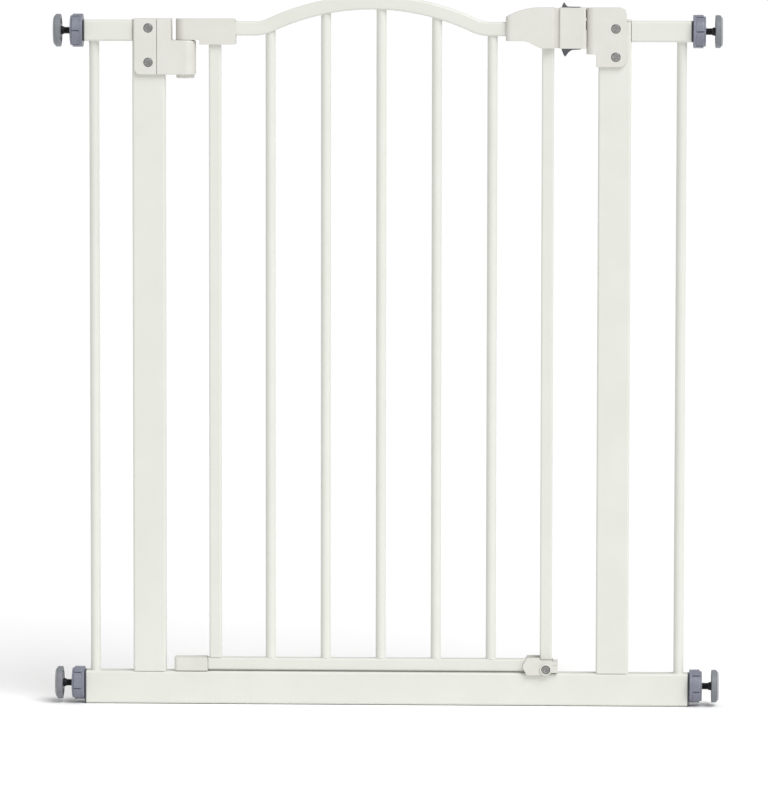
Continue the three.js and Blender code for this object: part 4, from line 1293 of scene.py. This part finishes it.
@dataclass
class Handle:
    """The two moulded halves round the door's top corner: a grip, a neck and the latch's head."""

    head_length: float = 28.0
    neck_length: float = 5.6
    neck_inset: float = 3.2
    neck_drop: float = 0.6
    rise: float = 10.0
    rise_length: float = 37.0
    step: float = 8.0
    step_start: float = 18.0
    step_length: float = 23.0
    corner: float = 6.0
    inner_edge: float = 1.2
    outer_edge: float = 3.0
    station_gap: float = 2.4
    stations: int = 14
    shell_wall: float = 2.4
    room_half: float = 9.0
    room_lip: float = 0.6
    rail_half: float = 7.8
    rail_height: float = 15.3
    stile_half: float = 6.8
    tongue_bottom: float = 736.5
    screw_seat: tuple[float, float, float] = (3.5, 1.8, 11.2)
    screw: PanScrew = field(default_factory=lambda: PanScrew(3.2, 1.8, 1.5, 23.0))
    screw_nodes: tuple[str, str] = ("handle_screw_left", "handle_screw_right")

    def build(self) -> None:
        """Models both halves and the two screws behind."""
        self._shell("handle_front_shell", Side.FRONT)
        self._shell("handle_rear_shell", Side.REAR)
        places = {node: Extent.of(node) for node in self.screw_nodes}
        sites = {node: (at.centre.x, at.high.y, at.centre.z) for node, at in places.items()}
        self.screw.place("door", sites, turned=True)

    def _top(self, x: float, left: float, top: float) -> float:
        """The height of the grip's upper line.

        Args:
            x: the place across.
            left: where the grip starts.
            top: its full height.

        Returns:
            The height.
        """
        radius = (self.rise_length ** 2 + self.rise ** 2) / (2 * self.rise)
        away = max(0.0, left + self.rise_length - x)
        return top - radius + math.sqrt(radius ** 2 - away ** 2)

    def _bottom(self, x: float, left: float, bottom: float) -> float:
        """The height of the grip's lower line."""
        share = min(1.0, max(0.0, (x - left - self.step_start) / self.step_length))
        return bottom + self.step * (1 + math.cos(math.pi * share)) / 2

    def _grip(self, node: str, low: Vector, high: Vector, outer: float) -> Piece:
        """Models the grip: a block with its near corner rounded, its top arched and its underside stepped.

        Args:
            node: the half's name in the CAD nodes.
            low: the grip's lowest corner.
            high: its highest corner.
            outer: how far front or back the half's face is.

        Returns:
            The grip.
        """
        grip = block(node + "_moulding", low, high)
        bevel(grip, edge_along(Axis.Z, x=low.x, y=outer), self.corner, 8)
        stations = [low.x + self.corner + self.station_gap * (i + 1) for i in range(self.stations)]
        slice_at(grip, Axis.X, [s for s in stations if s < high.x - 1])
        places = sorted({round(v.co.x, 3) for v in grip.data.vertices})
        for x in places:
            slide(grip, point_at(x=x, z=high.z), (0, 0, self._top(x, low.x, high.z) - high.z))
            slide(grip, point_at(x=x, z=low.z), (0, 0, self._bottom(x, low.x, low.z) - low.z))
        return grip

    def _shell(self, node: str, side: Side) -> None:
        """Models one half, with its half of the fixed tongue.

        Args:
            node: the half's name in the CAD nodes.
            side: which half it is.
        """
        place, sign = Extent.of(node), side.value
        near, far = place.low.y, place.high.y
        outer, inner = (near, far) if side is Side.FRONT else (far, near)
        right = BOLT.catch_face()
        head, neck = right - self.head_length, right - self.head_length - self.neck_length
        left, top, bottom = place.low.x, place.high.z, place.low.z

        def slab(name: str, x0: float, x1: float, face: float, z0: float, z1: float) -> Piece:
            """A block from the seam out to a face of this half."""
            return block(name, (x0, min(face, inner), z0), (x1, max(face, inner), z1))

        shell = self._grip(node, Vector((left, near, bottom)), Vector((neck, far, top)), outer)
        bevel(shell, edge_along(Axis.Z, x=neck, y=outer), self.inner_edge, 3)
        link = slab("neck", neck - 1, head + 1, outer - sign * self.neck_inset, bottom + self.neck_drop,
                    top - self.neck_drop)
        latch_head = slab("head", head, right, outer, bottom, top)
        bevel(latch_head, edge_along(Axis.Z, x=right, y=outer), self.outer_edge, 6)
        bevel(latch_head, edge_along(Axis.Z, x=head, y=outer), self.inner_edge, 3)
        tongue = slab("tongue", right - 1, place.high.x, sign * BOLT.half, self.tongue_bottom,
                      self.tongue_bottom + BOLT.height)
        weld(shell, link, latch_head, tongue)
        carve(shell, *self._rooms(left, head, right, bottom, top))
        if side is Side.REAR:
            recess, bore, floor = self.screw_seat
            for screw in self.screw_nodes:
                spot = Extent.of(screw).centre
                carve(shell, rod("recess", Axis.Y, spot, recess, floor, WIDE, 32),
                      rod("bore", Axis.Y, spot, bore, -1, WIDE, 20))
        soften(shell, 0.55, 3)
        fit(shell, "door", WHITE_MOULDING, node)

    def _rooms(self, left: float, head: float, right: float, bottom: float,
               top: float) -> list[Piece]:
        """Makes the cutters for the rail, the stile, the slider and its slots and mouth.

        Args:
            left: where the handle starts across.
            head: where the latch's head starts.
            right: where the head ends.
            bottom: the handle's lowest height.
            top: its highest.

        Returns:
            The cutters.
        """
        stile = Extent.of("latch_stile")
        shoulder, stile_right = stile.high.z + CLEAR, stile.high.x + CLEAR
        wall, lip = self.shell_wall, self.shell_wall + self.room_lip
        bolt = BOLT.half + CLEAR
        return [
            block("rail_space", (left - PAST, -self.rail_half, stile.high.z),
                  (stile_right, self.rail_half, shoulder + self.rail_height)),
            block("stile_space", (stile.low.x - CLEAR, -self.stile_half, bottom - PAST),
                  (stile_right, self.stile_half, shoulder)),
            block("slider_room", (head + wall, -self.room_half, bottom + lip),
                  (right - wall, self.room_half, top - lip)),
            block("finger_slot", (right - BOLT.slot_start, -BOLT.slot_half, bottom - PAST),
                  (right - BOLT.slot_end, BOLT.slot_half, top + PAST)),
            block("bolt_mouth", (right - wall - 1, -bolt, BOLT.bottom - CLEAR),
                  (right + 1, bolt, BOLT.bottom + BOLT.height + CLEAR)),
        ]


@dataclass
class Latch:
    """The sliding latch, with its bolt and two finger fins, and its return spring."""

    body_start: float = 18.3
    body_end: float = 4.3
    body_half: float = 8.5
    body_drop: float = 3.5
    neck_half: float = 3.4
    neck_start: float = 1.5
    neck_end: float = 3.5
    neck_rise: float = 0.8
    bolt_edge: float = 1.6
    fin_width: float = 11.0
    fin_length: float = 20.6
    fin_heights: tuple[float, float] = (5.2, 8.4)
    fin_tips: tuple[float, float] = (2.9, 4.2)
    fin_falls: tuple[float, float] = (4.6, 8.2)
    fin_tail: float = 0.07
    pocket_radius: float = 4.05
    pocket_depth: float = 7.0
    spring_radius: float = 3.0
    wire_radius: float = 0.45
    coils: int = 5

    def build(self) -> None:
        """Models the slider and the spring."""
        self._slider()
        self._spring()

    def _fin(self, left: float, base: float, up: int) -> Piece:
        """Models a finger fin: steep at first, hollow behind its tip, then a long thin tail.

        Args:
            left: where it starts across.
            base: the height it stands on.
            up: 1 for the fin above the handle, -1 for the one below.

        Returns:
            The fin.
        """
        lower = int(up < 0)
        height, tip_run, fall = self.fin_heights[lower], self.fin_tips[lower], self.fin_falls[lower]
        half, tip = self.fin_width / 2, base + up * height
        fin = block("fin", (left, -half, min(base, tip)), (left + self.fin_length, half, max(base, tip)))
        climb, descent = (0.0, 0.2, 0.4, 0.6, 0.8, 1.0), (0.1, 0.2, 0.32, 0.45, 0.6, 0.8, 1.0)
        profile = {tip_run * t: math.sin(math.pi / 2 * t) * 0.9 + 0.1 for t in climb}
        profile |= {tip_run + fall * t: 0.14 + 0.86 * (1 - t) ** 2 for t in descent}
        profile[self.fin_length] = self.fin_tail
        slice_at(fin, Axis.X, [left + run for run in profile if 0 < run < self.fin_length])
        for run, share in profile.items():
            slide(fin, point_at(x=left + run, z=tip), (0, 0, up * height * (share - 1)))
        return fin

    def _slider(self) -> None:
        """Models the slider in one moulding."""
        place, shell, spring = (Extent.of(n) for n in ("latch_slider", "handle_front_shell", "latch_spring"))
        top, bottom = shell.high.z, shell.low.z
        right = BOLT.catch_face()
        left, end = right - self.body_start, right - self.body_end
        slider = block("latch_slider_moulding", (left, -self.body_half, bottom + self.body_drop),
                       (end, self.body_half, top - self.body_drop))
        neck = block("neck", (left + self.neck_start, -self.neck_half, bottom - self.neck_rise),
                     (end - self.neck_end, self.neck_half, top + self.neck_rise))
        bolt = block("bolt", (end - 1, -BOLT.half, BOLT.bottom),
                     (place.high.x, BOLT.half, BOLT.bottom + BOLT.height))
        bevel(bolt, edge_along(Axis.Z, x=place.high.x), self.bolt_edge, 5)
        weld(slider, neck, bolt,
             self._fin(place.low.x, top + CLEAR, 1), self._fin(place.low.x, bottom - CLEAR, -1))
        carve(slider, rod("spring_pocket", Axis.X, spring.centre, self.pocket_radius, left - 1,
                          left + self.pocket_depth, 32))
        soften(slider, 0.3, 2)
        fit(slider, "slider", SLIDER_MOULDING, "latch_slider")

    def _spring(self) -> None:
        """Models the spring as a swept coil."""
        place = Extent.of("latch_spring")
        run = place.high.x - place.low.x - 2 * self.wire_radius
        bpy.ops.object.select_all(action="DESELECT")
        bpy.ops.mesh.primitive_circle_add(vertices=10, radius=self.wire_radius, fill_type="NOTHING",
                                          location=(0, self.spring_radius, 0))
        wire = _settled("latch_spring_coil")
        coil(wire, self.coils, run / self.coils)
        start = (place.low.x + self.wire_radius, 0, place.centre.z)
        wire.data.transform(Matrix.Translation(Vector(start)))
        soften(wire, 0, 1, 60)
        fit(wire, "door", ZINC, "latch_spring")
        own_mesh(wire)


# ---- Bottom stop ------------------------------------------------------------------------------------


@dataclass
class BottomStop:
    """The saddle under the door's lower corner, which straddles the frame's bottom rail."""

    nose_run: float = 4.5
    nose_half: float = 1.2
    tab_top: float = 2.3
    foot_drop: float = 1.1
    tab_bottom: float = 1.0
    boss_radius: float = 6.3
    boss_height: float = 1.6
    lip_gap: float = 0.6
    rail_half: float = 6.8
    line_drop: float = 3.6
    line_height: float = 1.0
    line_depth: float = 0.5
    head_radius: float = 4.4
    head_height: float = 1.8
    shaft_radius: float = 1.2

    def build(self) -> None:
        """Models the saddle and its screw."""
        place, rail, post = Extent.of("bottom_stop"), Extent.of("door_bottom_rail"), Extent.of("bottom_rail")
        screw, stile = Extent.of("bottom_stop_screw"), Extent.of("latch_stile")
        x, z = screw.centre.x, screw.centre.z
        face = place.high.y
        half = face - self.boss_height
        low, high = place.low.z, place.high.z
        left, right = place.low.x, place.high.x
        tab = x + self.boss_radius
        saddle = block("bottom_stop_saddle", (left, -half, low), (right, half, high))
        run = self.nose_run
        slice_at(saddle, Axis.X, [left + run, tab - 2 * run, tab, tab + 1])
        middle = (low + high) / 2
        slide(saddle, point_at(x=left, z=high), (0, 0, middle + self.nose_half - high))
        slide(saddle, point_at(x=left, z=low), (0, 0, middle - self.nose_half - low))
        for edge in (tab + 1, right):
            slide(saddle, point_at(x=edge, z=high), (0, 0, rail.high.z - self.tab_top - high))
        for edge in (tab, tab + 1, right):
            slide(saddle, point_at(x=edge, z=low), (0, 0, post.high.z + self.tab_bottom - low))
        carve(saddle, block("stile_foot", (stile.low.x, -WIDE, rail.high.z - self.foot_drop),
                            (right + NEXT_TO, WIDE, high + PAST)))
        boss = rod("boss", Axis.Y, (x, 0, z), self.boss_radius, -face, face, 56)
        for y in (-face, face):
            bevel(boss, rim_at(y=y), 0.6, 3)
        weld(saddle, boss)
        lip = post.high.y + self.lip_gap
        screw_seat = Seat(self.head_radius + CLEAR, -half + self.head_height, self.shaft_radius + CLEAR)
        carve(saddle,
              block("seat", (left - NEXT_TO, -lip, low - PAST), (right + NEXT_TO, lip, post.high.z + CLEAR)),
              block("rail_space", (left - NEXT_TO, -self.rail_half, rail.low.z - CLEAR),
                    (rail.high.x + CLEAR, self.rail_half, high + PAST)),
              *screw_seat.cutters(x, z))
        line, cut = rail.high.z - self.tab_top - self.line_drop, half - self.line_depth
        for low_y, high_y in ((-half - 2, -cut), (cut, half + 2)):
            carve(saddle, block("line", (tab + 1.4, low_y, line),
                                (right + 2, high_y, line + self.line_height)))
        soften(saddle, 0.4, 3)
        fit(saddle, "door", WHITE_MOULDING, "bottom_stop")
        site = {"bottom_stop_screw": (x, screw.low.y, z)}
        length = screw.high.y - screw.low.y
        PanScrew(self.head_radius, self.head_height, self.shaft_radius, length).place("door", site)


# ---- Wall adjusters ---------------------------------------------------------------------------------


class Corner(Enum):
    """A corner of the gate: whether it is on the right, and whether it is high."""

    UPPER_LEFT = (False, True)
    UPPER_RIGHT = (True, True)
    LOWER_LEFT = (False, False)
    LOWER_RIGHT = (True, False)

    @property
    def label(self) -> str:
        """The corner's name in the CAD nodes."""
        return self.name.lower()

    def move(self, home: Vector, lower: float, turn: float) -> Matrix:
        """The move from the upper right corner to this one.

        Args:
            home: a point on the upper right spindle's axis.
            lower: the height of the lower spindles.
            turn: how far a lower wheel is turned, in radians.

        Returns:
            The move as a matrix.
        """
        right, upper = self.value
        drop = Matrix.Translation((0, 0, 0 if upper else lower - home.z))
        to_axis = Matrix.Translation((0, 0, home.z))
        angle = 0 if upper else turn if right else -turn
        spin = to_axis @ Matrix.Rotation(angle, 4, "X") @ to_axis.inverted()
        return Matrix.Rotation(0 if right else math.pi, 4, "Z") @ drop @ spin


@dataclass
class WallAdjusters:
    """The four screw feet: plug, hand wheel, threaded spindle, foot and rubber pad."""

    lobes: int = 6
    flute_width: float = 1.5
    flute_depth: float = 1.6
    wheel_step: float = 2.4
    step_inset: float = 1.7
    groove: tuple[float, float] = (2.9, 3.4)
    groove_depth: float = 0.5
    wheel_dish: float = 12.4
    wheel_hub: float = 9.0
    bore: float = 4.3
    pitch: float = 1.25
    crest: float = 3.85
    root: float = 3.15
    collar_radius: float = 4.5
    collar_length: float = 2.2
    tip_radius: float = 3.9
    foot_rim: float = 4.0
    foot_hub: float = 7.6
    foot_ribs: int = 6
    rib_half: float = 0.6
    pad_taper: float = 0.86
    pad_rings: tuple[float, ...] = (12.6, 9.8, 7.0, 4.2)
    ring_width: float = 1.1
    ring_depth: float = 0.7
    turn: float = math.radians(15)
    plug_flange: float = 1.4
    plug_wall: float = 1.8
    plug_corner: float = 2.5

    def build(self) -> None:
        """Models the upper right adjuster and copies it to the other corners."""
        home = Extent.of("upper_right_spindle").centre
        lower = Extent.of("lower_right_spindle").centre.z
        masters = {
            "hand_wheel": (self._wheel(home), "wheel", GREY_MOULDING),
            "spindle": (self._spindle(home), "screw_foot", BLACK_STEEL),
            "foot": (self._foot(home), "screw_foot", FOOT_MOULDING),
            "wall_pad": (self._pad(home), "screw_foot", PAD_RUBBER),
        }
        for corner in Corner:
            for kind, (master, body, finish) in masters.items():
                node = f"{corner.label}_{kind}"
                piece = copied(master, node + "_piece", corner.move(home, lower, self.turn))
                fit(piece, f"{corner.label}_{body}", finish, node)
            self._plug(corner)
        for master, _, _ in masters.values():
            bpy.data.objects.remove(master, do_unlink=True)

    @staticmethod
    def _round(node: str) -> tuple[float, float, float]:
        """Where a round piece starts and ends across, and its radius."""
        place = Extent.of(node)
        return place.low.x, place.high.x, (place.high.z - place.low.z) / 2

    def _wheel(self, home: Vector) -> Piece:
        """Models the hand wheel: a round flange, fluted lobes and a smaller, dished end.

        Args:
            home: a point on the spindle's axis.

        Returns:
            The wheel.
        """
        start, end, radius = self._round("upper_right_hand_wheel")
        step = end - self.wheel_step
        wheel = rod("wheel_master", Axis.X, home, radius, start, step, 120)
        bevel(wheel, rim_at(x=start), 0.6, 4)
        bevel(wheel, rim_at(x=step), 0.4, 3)
        neck = rod("step", Axis.X, home, radius - self.step_inset, end - 3, end, 120)
        bevel(neck, rim_at(x=end), 0.5, 4)
        weld(wheel, neck)
        groove_start, groove_end = (start + run for run in self.groove)
        floor = radius - self.groove_depth
        carve(wheel, ring("dish", home, self.wheel_dish, self.wheel_hub, end - 1.6, end + 1),
              ring("groove", home, radius + 2, floor, groove_start, groove_end, 120, 120),
              rod("bore", Axis.X, home, self.bore, start - 2, end + 2))
        half = self.flute_width / 2
        for i in range(self.lobes):
            flute = block("flute", (start + 3.6, -half, radius - self.flute_depth),
                          (end + 2, half, radius + 3))
            carve(wheel, spread(flute, home, FULL_TURN * (i + 0.5) / self.lobes - math.pi))
        return soften(wheel, 0.2, 3, 30)

    def _spindle(self, home: Vector) -> Piece:
        """Models the threaded spindle with its collar.

        Args:
            home: a point on the spindle's axis.

        Returns:
            The spindle.
        """
        place, foot = Extent.of("upper_right_spindle"), Extent.of("upper_right_foot")
        collar_end = foot.low.x - CLEAR
        collar_start = collar_end - self.collar_length
        turns = int((collar_start - place.low.x) / self.pitch)
        flank = (self.crest - self.root) * math.tan(math.radians(30))
        flat = (self.pitch - 2 * flank) / 2
        profile = [(0.0, self.root), (flat, self.root), (flat + flank, self.crest),
                   (2 * flat + flank, self.crest), (self.pitch, self.root)]
        bpy.ops.object.select_all(action="DESELECT")
        bpy.ops.mesh.primitive_grid_add(x_subdivisions=4, y_subdivisions=1, size=2.0)
        thread = _settled("spindle_master")
        with shaping(thread, "VERT") as mesh:
            pick_points(thread, mesh, point_at(y=1.0))
            bpy.ops.mesh.delete(type="VERT")
        for i, (run, radius) in enumerate(profile):
            slide(thread, point_at(x=-1 + 0.5 * i, y=-1.0), (run + 10 - (-1 + 0.5 * i), radius + 1.0, 0))
        coil(thread, turns, self.pitch, merge=True)
        thread.data.transform(Matrix.Translation((place.low.x - 10, 0, home.z)))
        soften(thread, 0, 1, 25)
        collar = rod("collar", Axis.X, home, self.collar_radius, collar_start, collar_end)
        for x in (collar_start, collar_end):
            bevel(collar, rim_at(x=x), 0.4, 3)
        weld(collar, rod("tip", Axis.X, home, self.tip_radius, collar_start - 1.0, place.high.x, 36))
        soften(collar, 0.1, 2, 40)
        alone(thread)
        collar.select_set(True)
        bpy.ops.object.join()
        return thread

    def _foot(self, home: Vector) -> Piece:
        """Models the foot: a chamfered disc, dished round the spindle's socket.

        Args:
            home: a point on the spindle's axis.

        Returns:
            The foot.
        """
        start, end, radius = self._round("upper_right_foot")
        foot = rod("foot_master", Axis.X, home, radius, start, end, 120)
        bevel(foot, rim_at(x=start), 1.0, 4)
        bevel(foot, rim_at(x=end), 0.4, 3)
        floor = start + 1.3
        dish = rod("dish", Axis.X, home, radius - self.foot_rim, start - 1, floor, 96)
        bevel(dish, rim_at(x=floor), 0.8, 4)
        carve(dish, rod("hub", Axis.X, home, self.foot_hub, start - 3, start + 3, 64))
        carve(foot, dish, rod("socket", Axis.X, home, self.bore, start - 2, end - 1.7))
        for i in range(self.foot_ribs):
            rib = block("rib", (start + 0.3, -self.rib_half, self.foot_hub - 0.6),
                        (floor + 0.1, self.rib_half, radius - self.foot_rim + 0.4))
            weld(foot, spread(rib, home, FULL_TURN * i / self.foot_ribs))
        return soften(foot, 0.25, 3, 30)

    def _pad(self, home: Vector) -> Piece:
        """Models the rubber pad with concentric grip rings.

        Args:
            home: a point on the spindle's axis.

        Returns:
            The pad.
        """
        start, end, radius = self._round("upper_right_wall_pad")
        pad = rod("pad_master", Axis.X, home, radius, start, end, 120)
        with shaping(pad, "VERT") as mesh:
            pick_points(pad, mesh, point_at(x=end))
            bpy.ops.transform.resize(value=(1, self.pad_taper, self.pad_taper),
                                     center_override=(end, 0, home.z))
        for outer in self.pad_rings:
            carve(pad, ring("ring", home, outer, outer - self.ring_width, end - self.ring_depth, end + 1))
        return soften(pad, 0.2, 2, 30)

    def _plug(self, corner: Corner) -> None:
        """Models the dark plug in a rail's end.

        Args:
            corner: which corner it is for.
        """
        node = corner.label + "_rail_plug"
        place, spindle = Extent.of(node), Extent.of(corner.label + "_spindle")
        ends, inward = (place.high.x, place.low.x), -1
        if not corner.value[0]:
            ends, inward = ends[::-1], 1
        outer, inner = ends
        flange = outer + inward * self.plug_flange
        plug = block(node + "_moulding", (min(flange, outer), place.low.y, place.low.z),
                     (max(flange, outer), place.high.y, place.high.z))
        bevel(plug, edge_along(Axis.X), self.plug_corner, 6)
        bevel(plug, rim_at(x=outer), 0.5, 3)
        grow(plug, facing((inward, 0, 0), x=flange), (inner - flange, 0, 0), self.plug_wall)
        carve(plug, rod("bore", Axis.X, spindle.centre, self.bore, place.low.x - NEXT_TO,
                        place.high.x + NEXT_TO))
        soften(plug, 0.15, 2, 40)
        fit(plug, "frame", DARK_MOULDING, node)


# ---- Studio -----------------------------------------------------------------------------------------


@dataclass
class Studio:
    """A plain pale floor, soft light and the camera."""

    camera_at: tuple[float, float, float] = (0.200, -6.0, 0.853)
    aim: tuple[float, float, float] = (-0.0033, 0.0, 0.3331)
    roll: float = -0.00147
    focal: float = 263.8
    sky: float = 0.5
    sun: float = 2.3
    sun_from: tuple[float, float, float] = (2.4, -3.0, 5.0)
    sun_spread: float = math.radians(38)
    panel: float = 2.5
    panel_size: float = 0.35
    panel_at: tuple[float, float, float] = (0.75, -2.6, 1.35)
    floor_size: float = 400.0
    floor_drop: float = 0.0005

    def build(self) -> None:
        """Sets up the floor, the light and the camera."""
        self._floor()
        self._light()
        self._camera()

    def _floor(self) -> None:
        """Lays the floor."""
        bpy.ops.object.select_all(action="DESELECT")
        bpy.ops.mesh.primitive_grid_add(x_subdivisions=8, y_subdivisions=8, size=self.floor_size,
                                        location=(0, 0, -self.floor_drop))
        floor = _settled("studio_floor")
        surface = Finish("studio_floor_surface", "floor", "ffffff", "fdfdfd", 0.9, gloss_spread=0.02,
                         cloud=0.6, grain=60.0, grain_depth=0.00005)
        floor.data.materials.append(surface.material())

    def _light(self) -> None:
        """Sets a broad soft sun from the front on the right, a panel for highlights, and the pale sky."""
        world = bpy.context.scene.world or bpy.data.worlds.new("studio_sky")
        bpy.context.scene.world = world
        world.use_nodes = True
        sky = world.node_tree.nodes["Background"]
        sky.inputs["Color"].default_value = (1.0, 1.0, 1.0, 1.0)
        sky.inputs["Strength"].default_value = self.sky
        sun = bpy.data.lights.new("soft_sun", "SUN")
        sun.energy, sun.angle = self.sun, self.sun_spread
        self._hang("soft_sun", sun, self.sun_from)
        panel = bpy.data.lights.new("highlight_panel", "AREA")
        panel.size, panel.energy = self.panel_size, self.panel
        self._hang("highlight_panel", panel, self.panel_at)
        bpy.context.scene.view_settings.view_transform = "Standard"

    @staticmethod
    def _hang(name: str, light: bpy.types.Light, place: Triple) -> None:
        """Hangs a light that looks at the middle of the gate.

        Args:
            name: the light's name.
            light: its kind, size and strength.
            place: where it hangs.
        """
        lamp = bpy.data.objects.new(name, light)
        bpy.context.scene.collection.objects.link(lamp)
        lamp.location = place
        lamp.rotation_euler = (Vector((0, 0, 0.4)) - Vector(place)).to_track_quat("-Z", "Y").to_euler()

    def _camera(self) -> None:
        """Stands the camera in front, a little to the right and looking slightly down."""
        lens = bpy.data.cameras.new("camera")
        lens.sensor_fit, lens.sensor_width, lens.lens = "HORIZONTAL", 36.0, self.focal
        lens.clip_end = 600.0
        camera = bpy.data.objects.new("camera", lens)
        bpy.context.scene.collection.objects.link(camera)
        look = (Vector(self.aim) - Vector(self.camera_at)).to_track_quat("-Z", "Y").to_matrix().to_4x4()
        camera.matrix_world = Matrix.Translation(self.camera_at) @ look @ Matrix.Rotation(-self.roll, 4, "Z")
        bpy.context.scene.camera = camera


def main() -> None:
    """Builds the gate and its studio."""
    logging.basicConfig(level=logging.INFO, format="%(message)s")
    for part in (Studio(), FrameTubes(), HingeSide(), Catch(), DoorLattice(), Handle(), Latch(), BottomStop(),
                 WallAdjusters()):
        LOG.info("== %s", type(part).__name__)
        part.build()


if __name__ == "__main__":
    main()
